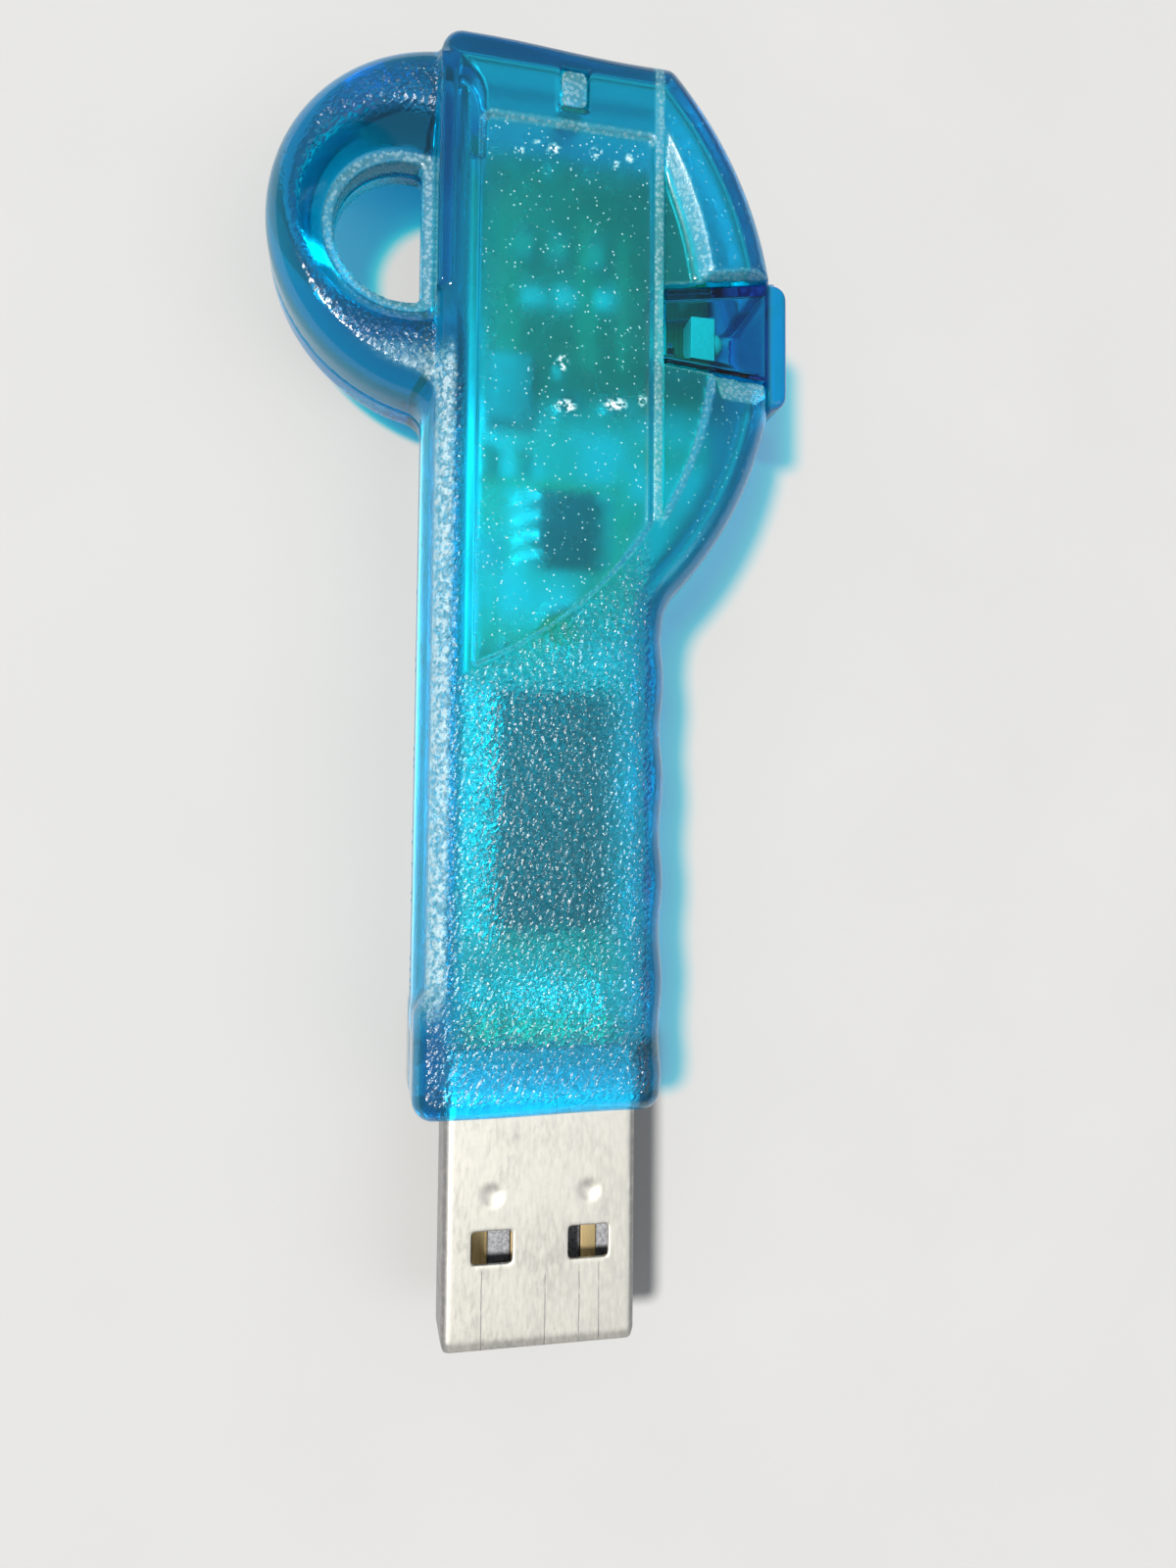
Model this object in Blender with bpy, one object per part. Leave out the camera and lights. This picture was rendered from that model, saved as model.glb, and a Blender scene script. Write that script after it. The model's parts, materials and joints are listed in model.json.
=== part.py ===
"""A key-shaped USB flash drive: two translucent casing halves with a key-ring loop,
a light window, a USB-A plug and a populated circuit board.

Lengths in this file are millimetres, and the helpers turn them into metres. The
drawing datum is the centre of the plug's tip: +X is to the right of the plug's
axis, +Y runs from the plug to the loop end, and Z = 0 is where the casing halves
meet. An empty carries the datum, so that the drive rests on Z = 0 with its
bounding box centred on the origin.
"""

import math

import bmesh
import bpy
from mathutils import Matrix, Vector

MM = 0.001
GAP = 0.05  # clearance between pieces that touch

# Casing
HALF_T = 4.8  # half the casing's thickness
WALL = 1.2
ROOF = 1.1
PARTING = 0.04  # each half's distance from the parting plane
FRONT_Y = 14.2  # the face that the plug leaves
TOP_Y = 81.4
SIDE_X = 7.35  # half the body's width
FOOT_X = 8.05  # the wider left side beside the plug, and the web's edge
FOOT_Y = 21.0
FOOT_RAMP = (0.4, 0.9)  # how far below and above FOOT_Y the width changes
RIM_R = 1.25  # rounding of the casing's long edges
CORNER_R = 1.3  # never less than RIM_R
LEAST_R = 0.3  # of an inset outline's corners
WAVE = 0.11  # depth of the finger waves along the right side
WAVE_PITCH = 6.3
WAVE_TOP_Y = 41.0
WAVE_STEPS = 24
WAVE_ENDS = (1.0, 0.8)  # straight lengths before the first wave and after the last
HEAD_CENTRE = (-10.2, 63.8)
HEAD_R = 25.1
HEAD_FILLET = 3.6

THROUGH = 8.0  # half the height of a cutter that goes right through
FAR = 100.0  # half the side of a cutter that takes everything on one side

# Key-ring loop
LOOP_CENTRE = (-6.25, 69.5)
LOOP_R = 11.6
LOOP_HALF_T = 3.8
LOOP_RIM_R = 2.0
WEB_FILLET = 1.3
WEB_ENDS = (1.5, 2.0)  # how far inside the body's ends the web starts and stops
HOLE_CENTRE = (-9.2, 69.5)
HOLE_R = 4.5
HOLE_FLAT_X = -8.3  # the straight side of the D-shaped hole
HOLE_CORNER_R = 1.0
HOLE_LAND = 1.3  # half the height of the hole's straight wall
DISH_SLOPE = 0.85  # how fast the dish around the hole widens with height
DISH_SPARE = 0.4  # how far its cutter passes the surfaces

# Face of the upper half
PANEL_LEFT = -5.0
PANEL_TOP = 76.0
STYLE_CENTRE = (-14.5, 63.8)  # of the arcs drawn on the head's face
PANEL_ARC_R = 24.5
PANEL_DEPTH = 0.3
PANEL_CORNERS_R = (0.3, 1.0)  # right and left
RIB_X = (6.2, 6.82)
RIB_FOOT_Y = 51.4
RIB_HEIGHT = 0.15
RIB_ROOT = 0.8  # how deep the rib's block reaches into the roof
RIB_END = 0.9  # from the casing's top edge
PAN_R = 25.0
PAN_DEPTH = 0.45
CATCH_X = (0.05, 1.85)
CATCH_Y = (77.0, 79.5)
CATCH_GAP = 0.1
CATCH_ARM = 1.0  # thickness of the arm below the catch's head
CATCH_SINK = 0.25
CATCH_HEAD_T = 0.9  # height of the catch's head

# Light window
WINDOW_HALF_T = 3.85
WINDOW_WALL = 0.6
WINDOW_INNER_X = 7.1
WINDOW_INNER_Y = (61.52, 66.54)
WINDOW_SLOPES = (-0.085, 0.16)  # of its lower and upper sides
POCKET_FLARE = 0.4  # width of the sloping edges around the window
POCKET_FLARE_END = 2.0  # and of the lower one at its outer end
CAP_X = (14.1, 15.45)
CAP_Y = (59.2, 67.5)
CAP_R = 0.85
CAP_BACK_R = 0.35
CAP_HALF_T = 4.2
CAP_OVERLAP = 0.5  # of the wedge and the cap
WINDOW_EDGE_R = 0.3

# USB-A plug
PLUG_W = 12.0
PLUG_T = 4.5
PLUG_SHEET = 0.3
PLUG_BACK_Y = 18.4
PLUG_EDGE_R = 0.55
PLUG_STEP_Y = 14.1  # behind it the shell is a little smaller, inside the casing
PLUG_STEP = 0.1
SLOT_X = (1.75, 4.25)
SLOT_Y = (5.16, 7.11)
DIMPLE = (3.0, 9.25)
DIMPLE_R = 0.7
DIMPLE_SINK = 0.18
TONGUE_W = 11.1
TONGUE_TOP = -0.15
TONGUE_ENDS = (0.35, 18.3)
BLOCK_FRONT_Y = 11.6  # the tongue's thick rear part starts here
CONTACT_T = 0.2
CONTACT_RISE = 0.1  # how far a contact stands above the tongue
CONTACTS = {  # name: (centre X, front end Y)
    "contact_power": (-3.5, 1.5),
    "contact_data_minus": (-1.0, 2.5),
    "contact_data_plus": (1.0, 2.5),
    "contact_ground": (3.5, 1.5),
}
CONTACT_W = 1.0
CONTACT_TAIL_Y = 21.2

# Circuit board
BOARD_TOP = -0.35
BOARD_T = 1.0
BOARD_BOTTOM = BOARD_TOP - BOARD_T
BOARD_INSET = 1.35  # from the casing's outline
BOARD_HEAD_INSET = 0.9  # more, along the head's arc
BOARD_TURN = 33  # degrees up the head's arc, where the board's corner is
BOARD_FRONT_Y = 18.7
BOARD_BACK_Y = 76.6
BITE_X = 11.3
BITE_R = 0.38
BITE_SHIFT = 0.18  # of the bites' centres, out from BITE_X
BITE_YS = (62.8, 63.95, 65.1, 66.25)
STOPS = ((-5.7, 24.5), (5.7, 24.5), (-5.7, 45.0), (-5.7, 74.6))  # above the board
STOP_HALF = (0.4, 0.8)
POSTS = ((-5.5, 23.0), (5.5, 23.0), (-5.5, 46.0), (5.5, 41.0), (-5.5, 74.0), (5.0, 74.0))
POST_HALF = (0.6, 0.9)
PILLAR_ROOT = 0.5  # from the casing's face to a stop's or a post's root

# Components
LEAD_T = 0.18
LEAD_FOOT = 0.75
PACKAGE_LIFT = 0.12
PACKAGE_DRAFT = 0.12
CRYSTAL = (-2.4, 60.2)
CRYSTAL_BASE = (3.2, 5.0, 0.5)
CRYSTAL_LID = (2.8, 4.6, 1.1)  # its height is from the seat
LED = (11.2, 64.4)  # the middle of the face it shines from
LED_SIZE = (1.65, 3.0, 1.9)
LED_LENS_R = 0.85
CAP_STEP = 0.04  # how far a component's end caps stand proud
CAP_PART = 0.2  # an end cap's share of the length

ARC_SAG = 0.02  # how far an arc's chords cut inside it


# Materials


def material(name, colour, roughness, metallic=0.0, transmission=0.0):
    made = bpy.data.materials.new(name)
    made.use_nodes = True
    shader = made.node_tree.nodes["Principled BSDF"]
    shader.inputs["Base Color"].default_value = (*colour, 1.0)
    shader.inputs["Roughness"].default_value = roughness
    shader.inputs["Metallic"].default_value = metallic
    shader.inputs["Transmission Weight"].default_value = transmission
    made.diffuse_color = (*colour, 1.0)
    return made


def make_materials():
    return {
        "casing": material("casing", (0.02, 0.5, 0.72), 0.35, transmission=0.8),
        "window": material("window", (0.03, 0.45, 0.75), 0.08, transmission=0.9),
        "steel": material("steel", (0.66, 0.65, 0.62), 0.35, metallic=1.0),
        "gold": material("gold", (0.85, 0.62, 0.28), 0.3, metallic=1.0),
        "carrier": material("carrier", (0.05, 0.05, 0.055), 0.6),
        "board": material("board", (0.03, 0.28, 0.12), 0.4),
        "chip": material("chip", (0.02, 0.02, 0.022), 0.55),
        "tantalum": material("tantalum", (0.45, 0.3, 0.08), 0.5),
        "ceramic": material("ceramic", (0.62, 0.52, 0.38), 0.5),
        "resistor": material("resistor", (0.03, 0.03, 0.035), 0.4),
        "led": material("led", (0.85, 0.9, 0.85), 0.3),
    }


# Scene and object helpers


def clear_scene():
    for obj in list(bpy.data.objects):
        bpy.data.objects.remove(obj)
    for name in ("usb_flash_drive", "cutters"):
        bpy.context.scene.collection.children.link(bpy.data.collections.new(name))


def place_datum():
    """The empty that carries the drawing datum."""
    datum = bpy.data.objects.new("plug_tip_datum", None)
    left = LOOP_CENTRE[0] - LOOP_R
    datum.location = (-(left + CAP_X[1]) / 2 * MM, -TOP_Y / 2 * MM, HALF_T * MM)
    bpy.data.collections["usb_flash_drive"].objects.link(datum)
    return datum


def add_object(name, mesh, paint=None):
    """Links a mesh as a part if it has a material, or as a cutter."""
    obj = bpy.data.objects.new(name, mesh)
    home = "usb_flash_drive" if paint else "cutters"
    bpy.data.collections[home].objects.link(obj)
    obj.parent = bpy.data.objects["plug_tip_datum"]
    if paint:
        mesh.materials.clear()
        mesh.materials.append(bpy.data.materials[paint])
    else:
        obj.hide_render = True
        obj.display_type = "WIRE"
    return obj


def mesh_of(name, build):
    """A mesh filled by build(bm), scaled from millimetres to metres."""
    bm = bmesh.new()
    build(bm)
    bmesh.ops.scale(bm, vec=(MM, MM, MM), verts=bm.verts)
    bmesh.ops.recalc_face_normals(bm, faces=bm.faces)
    mesh = bpy.data.meshes.new(name)
    bm.to_mesh(mesh)
    bm.free()
    return mesh


def add_box(bm, low, high):
    made = bmesh.ops.create_cube(bm, size=1.0)["verts"]
    size = Vector(high) - Vector(low)
    bmesh.ops.scale(bm, vec=size, verts=made)
    bmesh.ops.translate(bm, vec=(Vector(high) + Vector(low)) / 2, verts=made)
    return made


def box(name, low, high, paint=None):
    return add_object(name, mesh_of(name, lambda bm: add_box(bm, low, high)), paint)


def boxes(name, corners, paint=None):
    """Several boxes in one mesh."""

    def build(bm):
        for low, high in corners:
            add_box(bm, low, high)

    return add_object(name, mesh_of(name, build), paint)


def cone(name, centre, low_r, high_r, low_z, high_z, segments=48):
    def build(bm):
        made = bmesh.ops.create_cone(
            bm,
            cap_ends=True,
            segments=segments,
            radius1=low_r,
            radius2=high_r,
            depth=high_z - low_z,
        )["verts"]
        bmesh.ops.translate(bm, vec=(*centre, (low_z + high_z) / 2), verts=made)

    return add_object(name, mesh_of(name, build))


def prism(name, outline, low_z, high_z, paint=None, rim=0.0, rim_steps=2):
    """A flat outline, thickened, with rims rounded to the radius rim."""
    curve = bpy.data.curves.new(name, "CURVE")
    curve.dimensions = "2D"
    curve.fill_mode = "BOTH"
    curve.extrude = ((high_z - low_z) / 2 - rim) * MM
    curve.bevel_depth = rim * MM
    curve.offset = -rim * MM
    curve.bevel_resolution = rim_steps
    spline = curve.splines.new("POLY")
    spline.points.add(len(outline) - 1)
    for point, (x, y) in zip(spline.points, outline):
        point.co = (x * MM, y * MM, 0.0, 1.0)
    spline.use_cyclic_u = True
    shape = bpy.data.objects.new(name + "_curve", curve)
    bpy.context.scene.collection.objects.link(shape)
    bpy.context.view_layer.update()
    graph = bpy.context.evaluated_depsgraph_get()
    mesh = bpy.data.meshes.new_from_object(shape.evaluated_get(graph))
    bpy.data.objects.remove(shape)
    bpy.data.curves.remove(curve)
    bm = bmesh.new()
    bm.from_mesh(mesh)
    bmesh.ops.remove_doubles(bm, verts=bm.verts, dist=1e-7)
    bmesh.ops.translate(bm, vec=(0, 0, (low_z + high_z) / 2 * MM), verts=bm.verts)
    bmesh.ops.dissolve_limit(
        bm, angle_limit=math.radians(0.5), verts=bm.verts, edges=bm.edges
    )
    bmesh.ops.recalc_face_normals(bm, faces=bm.faces)
    bm.to_mesh(mesh)
    bm.free()
    mesh.name = name
    return add_object(name, mesh, paint)


def combine(obj, other, operation):
    """Leaves a Boolean on obj. The other object becomes a helper."""
    modifier = obj.modifiers.new(operation.lower() + "_" + other.name, "BOOLEAN")
    modifier.operation = operation
    modifier.object = other
    modifier.solver = "EXACT"


def cut(obj, *cutters):
    for cutter in cutters:
        combine(obj, cutter, "DIFFERENCE")


def join(obj, *others):
    for other in others:
        combine(obj, other, "UNION")


def smooth(obj, angle=30):
    obj.data.shade_smooth()
    obj.data.set_sharp_from_angle(angle=math.radians(angle))


# Outlines


def arc(centre, radius, start, end):
    """Points along an arc, with angles in degrees."""
    sweep = math.radians(end - start)
    steps = max(2, math.ceil(abs(sweep) / (2 * math.acos(1 - ARC_SAG / radius))))
    angles = [math.radians(start) + sweep * i / steps for i in range(steps + 1)]
    return [
        (centre[0] + radius * math.cos(a), centre[1] + radius * math.sin(a))
        for a in angles
    ]


def corner(x, y, radius, start):
    """A rounded outer corner at (x, y), turning left from the angle start."""
    side = math.radians(start)
    across = math.radians(start + 90)
    centre = (
        x - radius * (math.cos(side) + math.cos(across)),
        y - radius * (math.sin(side) + math.sin(across)),
    )
    return arc(centre, radius, start, start + 90)


def wave(y):
    """How far the right side's finger waves stand out at this Y."""
    return WAVE * math.cos(2 * math.pi * (y - WAVE_TOP_Y) / WAVE_PITCH)


def body_outline(inset=0.0, foot=True):
    """The casing's thick body, without the loop, seen from above."""
    right = SIDE_X - inset
    left = -(SIDE_X - inset)
    foot_left = -(FOOT_X - inset) if foot else left
    front = FRONT_Y + inset
    top = TOP_Y - inset
    head_r = HEAD_R - inset
    fillet = HEAD_FILLET + inset
    reach = right + fillet - HEAD_CENTRE[0]
    drop = math.sqrt((head_r + fillet) ** 2 - reach**2)
    fillet_y = HEAD_CENTRE[1] - drop
    fillet_turn = math.degrees(math.atan2(drop, reach))
    round_r = max(CORNER_R - inset, LEAST_R)
    rise = top - round_r - HEAD_CENTRE[1]
    across = math.sqrt((head_r - round_r) ** 2 - rise**2)
    top_turn = math.degrees(math.atan2(rise, across))
    points = corner(foot_left, front, round_r, 180)
    points += corner(right, front, round_r, 270)
    if inset < WALL:
        first = front + round_r + WAVE_ENDS[0]
        last = fillet_y - WAVE_ENDS[1]
        for i in range(WAVE_STEPS + 1):
            y = first + (last - first) * i / WAVE_STEPS
            points.append((right + wave(y), y))
    points += arc((right + fillet, fillet_y), fillet, 180, 180 - fillet_turn)
    points += arc(HEAD_CENTRE, head_r, -fillet_turn, top_turn)[1:]
    points += arc((HEAD_CENTRE[0] + across, top - round_r), round_r, top_turn, 90)[1:]
    points += corner(left, top, round_r, 90)
    if foot:
        points += [(left, FOOT_Y + FOOT_RAMP[1]), (foot_left, FOOT_Y - FOOT_RAMP[0])]
    return points


def web_outline():
    """The loop's disc and the thin web that runs from it down the left side."""
    x, y = LOOP_CENTRE
    reach = x + FOOT_X + WEB_FILLET
    drop = math.sqrt((LOOP_R + WEB_FILLET) ** 2 - reach**2)
    turn = math.degrees(math.atan2(drop, reach))
    points = arc(LOOP_CENTRE, LOOP_R, 90, 180 + turn)
    points += arc((-FOOT_X - WEB_FILLET, y - drop), WEB_FILLET, turn, 0)
    low = FOOT_Y - WEB_ENDS[0]
    points += [(-FOOT_X, low), (0, low), (0, TOP_Y - WEB_ENDS[1])]
    return points


def hole_outline():
    """The D-shaped key-ring hole."""
    flat = HOLE_FLAT_X - HOLE_CENTRE[0]
    inner = math.sqrt((HOLE_R - HOLE_CORNER_R) ** 2 - (flat - HOLE_CORNER_R) ** 2)
    turn = math.degrees(math.atan2(inner, flat - HOLE_CORNER_R))
    x = HOLE_FLAT_X - HOLE_CORNER_R
    y = HOLE_CENTRE[1]
    points = arc((x, y + inner), HOLE_CORNER_R, 0, turn)
    points += arc(HOLE_CENTRE, HOLE_R, turn, 360 - turn)[1:-1]
    points += arc((x, y - inner), HOLE_CORNER_R, -turn, 0)
    return points


def panel_outline():
    """The shallow label panel: square at the top, closed by an arc below."""
    right = RIB_X[0]
    turns = [
        -math.degrees(math.acos((x - STYLE_CENTRE[0]) / PANEL_ARC_R))
        for x in (PANEL_LEFT, right)
    ]
    points = arc(STYLE_CENTRE, PANEL_ARC_R, *turns)
    points += corner(right, PANEL_TOP, PANEL_CORNERS_R[0], 0)
    points += corner(PANEL_LEFT, PANEL_TOP, PANEL_CORNERS_R[1], 90)
    return points


def pan_outline():
    """The sunken area between the rib and an arc."""
    left = RIB_X[1]
    turn = math.degrees(math.acos((left - STYLE_CENTRE[0]) / PAN_R))
    return arc(STYLE_CENTRE, PAN_R, -turn, turn)


def wedge_outline(left, right, grow=0.0):
    """The light window's wedge between two values of X, grown on every side."""
    low, high = (
        [y + slope * (x - WINDOW_INNER_X) for x in (left - grow, right + grow)]
        for y, slope in zip(WINDOW_INNER_Y, WINDOW_SLOPES)
    )
    return [
        (left - grow, low[0] - grow),
        (right + grow, low[1] - grow),
        (right + grow, high[1] + grow),
        (left - grow, high[0] + grow),
    ]


# Casing


def loop_half(name):
    """The loop's solid for the upper side, already holed and dished."""
    web = prism(name, web_outline(), -LOOP_HALF_T, LOOP_HALF_T, rim=LOOP_RIM_R)
    cut(web, bpy.data.objects["loop_hole"], bpy.data.objects["loop_dish"])
    return web


def casing_half(name, cavity, pocket, below):
    """One half of the casing, as the upper half. The caller turns the lower one."""
    half = prism(
        name, body_outline(), -HALF_T, HALF_T, "casing", rim=RIM_R, rim_steps=3
    )
    join(half, loop_half(name + "_web"))
    cut(half, below, cavity, *pocket, bpy.data.objects["plug_passage"])
    return half


def make_cutters():
    prism("loop_hole", hole_outline(), -THROUGH, THROUGH)
    low, high = HOLE_LAND - DISH_SPARE, LOOP_HALF_T + DISH_SPARE
    radii = [HOLE_R + (z - HOLE_LAND) * DISH_SLOPE for z in (low, high)]
    cone("loop_dish", HOLE_CENTRE, *radii, low, high)
    box(
        "plug_passage",
        (-PLUG_W / 2 - GAP, FRONT_Y - 2, -PLUG_T / 2 - GAP),
        (PLUG_W / 2 + GAP, FRONT_Y + 3, PLUG_T / 2 + GAP),
    )


def make_pocket(name):
    """What the light window needs cut from a casing half, with sloping edges."""
    left, right = WINDOW_INNER_X, CAP_X[1]
    outline = wedge_outline(left, right, 2 * GAP)
    wedge = prism(name, outline, -THROUGH, THROUGH)
    flare = prism(name + "_flare", outline, WINDOW_HALF_T, HALF_T + DISH_SPARE)
    middle_y = sum(WINDOW_INNER_Y) / 2 * MM
    widest = max(vertex.co.z for vertex in flare.data.vertices)
    for vertex in flare.data.vertices:
        if vertex.co.z > widest - MM * GAP:
            below_end = vertex.co.y < middle_y and vertex.co.x > left * MM
            width = POCKET_FLARE_END if below_end else POCKET_FLARE
            vertex.co.y += math.copysign(width * MM, vertex.co.y - middle_y)
    cap = box(
        name + "_cap",
        (CAP_X[0] - 2 * GAP, CAP_Y[0] - 2 * GAP, -THROUGH - 1),
        (CAP_X[1] + 2, CAP_Y[1] + 2 * GAP, THROUGH + 1),
    )
    return wedge, flare, cap


def make_upper_casing():
    cavity = prism("upper_cavity", body_outline(WALL, foot=False), -THROUGH, HALF_T - ROOF)
    below = box("below_parting", (-FAR, -FAR, -FAR), (FAR, FAR, PARTING))
    pocket = make_pocket("upper_pocket")
    upper = casing_half("upper_casing", cavity, pocket, below)
    panel = prism("panel_cutter", panel_outline(), HALF_T - PANEL_DEPTH, THROUGH)
    pan = prism("pan_cutter", pan_outline(), HALF_T - PAN_DEPTH, THROUGH)
    slot_far = (CATCH_X[1], CATCH_Y[1], THROUGH)
    slot = box("catch_slot", (CATCH_X[0], CATCH_Y[0], 0), slot_far)
    cut(upper, panel, pan, slot)
    rib = box(
        "rib",
        (RIB_X[0], RIB_FOOT_Y, HALF_T - RIB_ROOT),
        (RIB_X[1], TOP_Y - RIB_END, HALF_T + RIB_HEIGHT),
    )
    join(upper, rib)
    join(upper, pillars("board_stops", STOPS, STOP_HALF, BOARD_TOP + GAP))
    smooth(upper)


def pillars(name, places, half, foot):
    """Blocks from the height foot up into the casing's roof."""
    a, b = half
    top = HALF_T - PILLAR_ROOT
    corners = [((x - a, y - b, foot), (x + a, y + b, top)) for x, y in places]
    return boxes(name, corners)


def make_lower_casing():
    """The lower half is built as an upper one and turned over about the Y axis."""
    cavity = prism("lower_cavity", body_outline(WALL, foot=False), -THROUGH, HALF_T - ROOF)
    below = box("above_parting", (-FAR, -FAR, -FAR), (FAR, FAR, PARTING))
    pocket = make_pocket("lower_pocket")
    lower = casing_half("lower_casing", cavity, pocket, below)
    join(lower, pillars("board_posts", POSTS, POST_HALF, -BOARD_BOTTOM + GAP))
    mirror_down(lower)
    left, right = CATCH_X[0] + CATCH_GAP, CATCH_X[1] - CATCH_GAP
    front, back = CATCH_Y[0] + CATCH_GAP, CATCH_Y[1] - CATCH_GAP
    arm_foot = (left, front, -HALF_T + ROOF / 2)
    top = HALF_T - CATCH_SINK
    arm = box("catch_arm", arm_foot, (right, front + CATCH_ARM, top - CATCH_SINK))
    head = box("catch_head", (left, front, top - CATCH_HEAD_T), (right, back, top))
    join(lower, arm, head)
    smooth(lower)


def mirror_down(obj):
    """Applies the object's modifiers, then reflects its mesh in the parting plane."""
    graph = bpy.context.evaluated_depsgraph_get()
    mesh = bpy.data.meshes.new_from_object(obj.evaluated_get(graph))
    obj.modifiers.clear()
    bm = bmesh.new()
    bm.from_mesh(mesh)
    bmesh.ops.scale(bm, vec=(1, 1, -1), verts=bm.verts)
    bmesh.ops.reverse_faces(bm, faces=bm.faces)
    bm.to_mesh(mesh)
    bm.free()
    obj.data = mesh


def make_window():
    """The clear light window: a hollow wedge with a rounded cap outside."""
    thick = WINDOW_HALF_T
    edge = WINDOW_EDGE_R
    outline = wedge_outline(WINDOW_INNER_X, CAP_X[0] + CAP_OVERLAP)
    window = prism("light_window", outline, -thick, thick, "window", edge, 1)
    cap_outline = (
        corner(CAP_X[0], CAP_Y[0], CAP_BACK_R, 180)
        + corner(CAP_X[1], CAP_Y[0], CAP_R, 270)
        + corner(CAP_X[1], CAP_Y[1], CAP_R, 0)
        + corner(CAP_X[0], CAP_Y[1], CAP_BACK_R, 90)
    )
    cap = prism("window_cap", cap_outline, -CAP_HALF_T, CAP_HALF_T, None, edge, 1)
    join(window, cap)
    inner_x = (WINDOW_INNER_X - 2, CAP_X[1] - WINDOW_WALL)
    hollow = wedge_outline(*inner_x, -WINDOW_WALL)
    thick -= WINDOW_WALL
    cut(window, prism("window_hollow", hollow, -thick, thick))
    slot = box(
        "window_board_slot",
        (inner_x[0], CAP_Y[0] - 1, BOARD_BOTTOM - 2 * GAP),
        (BITE_X + 4 * GAP, CAP_Y[1] + 1, BOARD_TOP + 2 * GAP),
    )
    cut(window, slot)
    smooth(window)


# USB-A plug


def make_plug_shell():
    shell = sleeve("plug_shell", 0.0, 0.0, PLUG_STEP_Y, "steel")
    join(shell, sleeve("plug_neck", PLUG_STEP, PLUG_STEP_Y - 1, PLUG_BACK_Y))
    cut(shell, sleeve("plug_hollow", PLUG_SHEET, -1.0, PLUG_BACK_Y + 1))
    slots = boxes(
        "plug_slots",
        [
            ((x0, SLOT_Y[0], -THROUGH), (x1, SLOT_Y[1], THROUGH))
            for x0, x1 in (SLOT_X, (-SLOT_X[1], -SLOT_X[0]))
        ],
    )
    cut(shell, slots)
    for side in (-1, 1):
        centre = (side * DIMPLE[0], DIMPLE[1], PLUG_T / 2 + DIMPLE_R - DIMPLE_SINK)
        cut(shell, ball("dimple", centre, DIMPLE_R))
    smooth(shell)


def sleeve(name, inset, front, back, paint=None):
    """The plug's rounded box between two values of Y, made smaller by inset."""
    half_w = PLUG_W / 2 - inset
    half_t = PLUG_T / 2 - inset
    radius = PLUG_EDGE_R - inset
    outline = (
        corner(-half_w, -half_t, radius, 180)
        + corner(half_w, -half_t, radius, 270)
        + corner(half_w, half_t, radius, 0)
        + corner(-half_w, half_t, radius, 90)
    )
    made = prism(name, outline, front, back, paint)
    for vertex in made.data.vertices:
        x, z, y = vertex.co
        vertex.co = (x, y, z)
    made.data.flip_normals()
    return made


def ball(name, centre, radius):
    def build(bm):
        made = bmesh.ops.create_uvsphere(bm, u_segments=16, v_segments=10, radius=radius)
        bmesh.ops.translate(bm, vec=centre, verts=made["verts"])

    return add_object(name, mesh_of(name, build))


def make_carrier():
    """The plastic tongue, thick at the back where it fills the shell."""
    low = -PLUG_T / 2 + PLUG_SHEET + GAP
    back_top = PLUG_T / 2 - PLUG_SHEET - GAP
    half = TONGUE_W / 2
    front, back = TONGUE_ENDS
    tongue = ((-half, front, low), (half, back, TONGUE_TOP))
    carrier = box("contact_carrier", *tongue, "carrier")
    block_low = (-half, BLOCK_FRONT_Y, low + PLUG_SHEET)
    block = box("carrier_block", block_low, (half, back, back_top))
    join(carrier, block)
    grooves = boxes(
        "carrier_grooves",
        [
            (
                (x - CONTACT_W / 2 - GAP, front - GAP, TONGUE_TOP - CONTACT_T),
                (x + CONTACT_W / 2 + GAP, PLUG_BACK_Y + 1, TONGUE_TOP + CONTACT_T),
            )
            for x, front in CONTACTS.values()
        ],
    )
    cut(carrier, grooves)


def make_contacts():
    """Each contact lies in its groove and ends in a tail on the board."""
    top = TONGUE_TOP + CONTACT_RISE
    low = TONGUE_TOP - CONTACT_T + GAP
    for name, (x, front) in CONTACTS.items():
        half = CONTACT_W / 2
        box(name, (x - half, front, low), (x + half, CONTACT_TAIL_Y, top), "gold")


# Circuit board


def board_outline():
    inset = BOARD_INSET
    right = SIDE_X - inset
    head_r = HEAD_R - inset - BOARD_HEAD_INSET
    fillet = HEAD_FILLET + inset
    reach = right + fillet - HEAD_CENTRE[0]
    drop = math.sqrt((head_r + fillet) ** 2 - reach**2)
    turn = math.degrees(math.atan2(drop, reach))
    fillet_y = HEAD_CENTRE[1] - drop
    bite_turn = math.degrees(math.acos((BITE_X - HEAD_CENTRE[0]) / head_r))
    points = [(-right, BOARD_FRONT_Y), (right, BOARD_FRONT_Y)]
    points += arc((right + fillet, fillet_y), fillet, 180, 180 - turn)
    points += arc(HEAD_CENTRE, head_r, -turn, -bite_turn)[1:]
    points += arc(HEAD_CENTRE, head_r, bite_turn, BOARD_TURN)
    points += [(points[-1][0], BOARD_BACK_Y), (-right, BOARD_BACK_Y)]
    return points


def make_board():
    board = prism("circuit_board", board_outline(), BOARD_BOTTOM, BOARD_TOP, "board")
    cut(board, add_object("board_bites", mesh_of("board_bites", build_bites)))


def build_bites(bm):
    """The row of small holes where the board was snapped from its panel."""
    for y in BITE_YS:
        made = bmesh.ops.create_cone(
            bm, cap_ends=True, segments=12, radius1=BITE_R, radius2=BITE_R, depth=4 * BOARD_T
        )["verts"]
        bmesh.ops.translate(bm, vec=(BITE_X + BITE_SHIFT, y, BOARD_BOTTOM), verts=made)


# Chips


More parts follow.
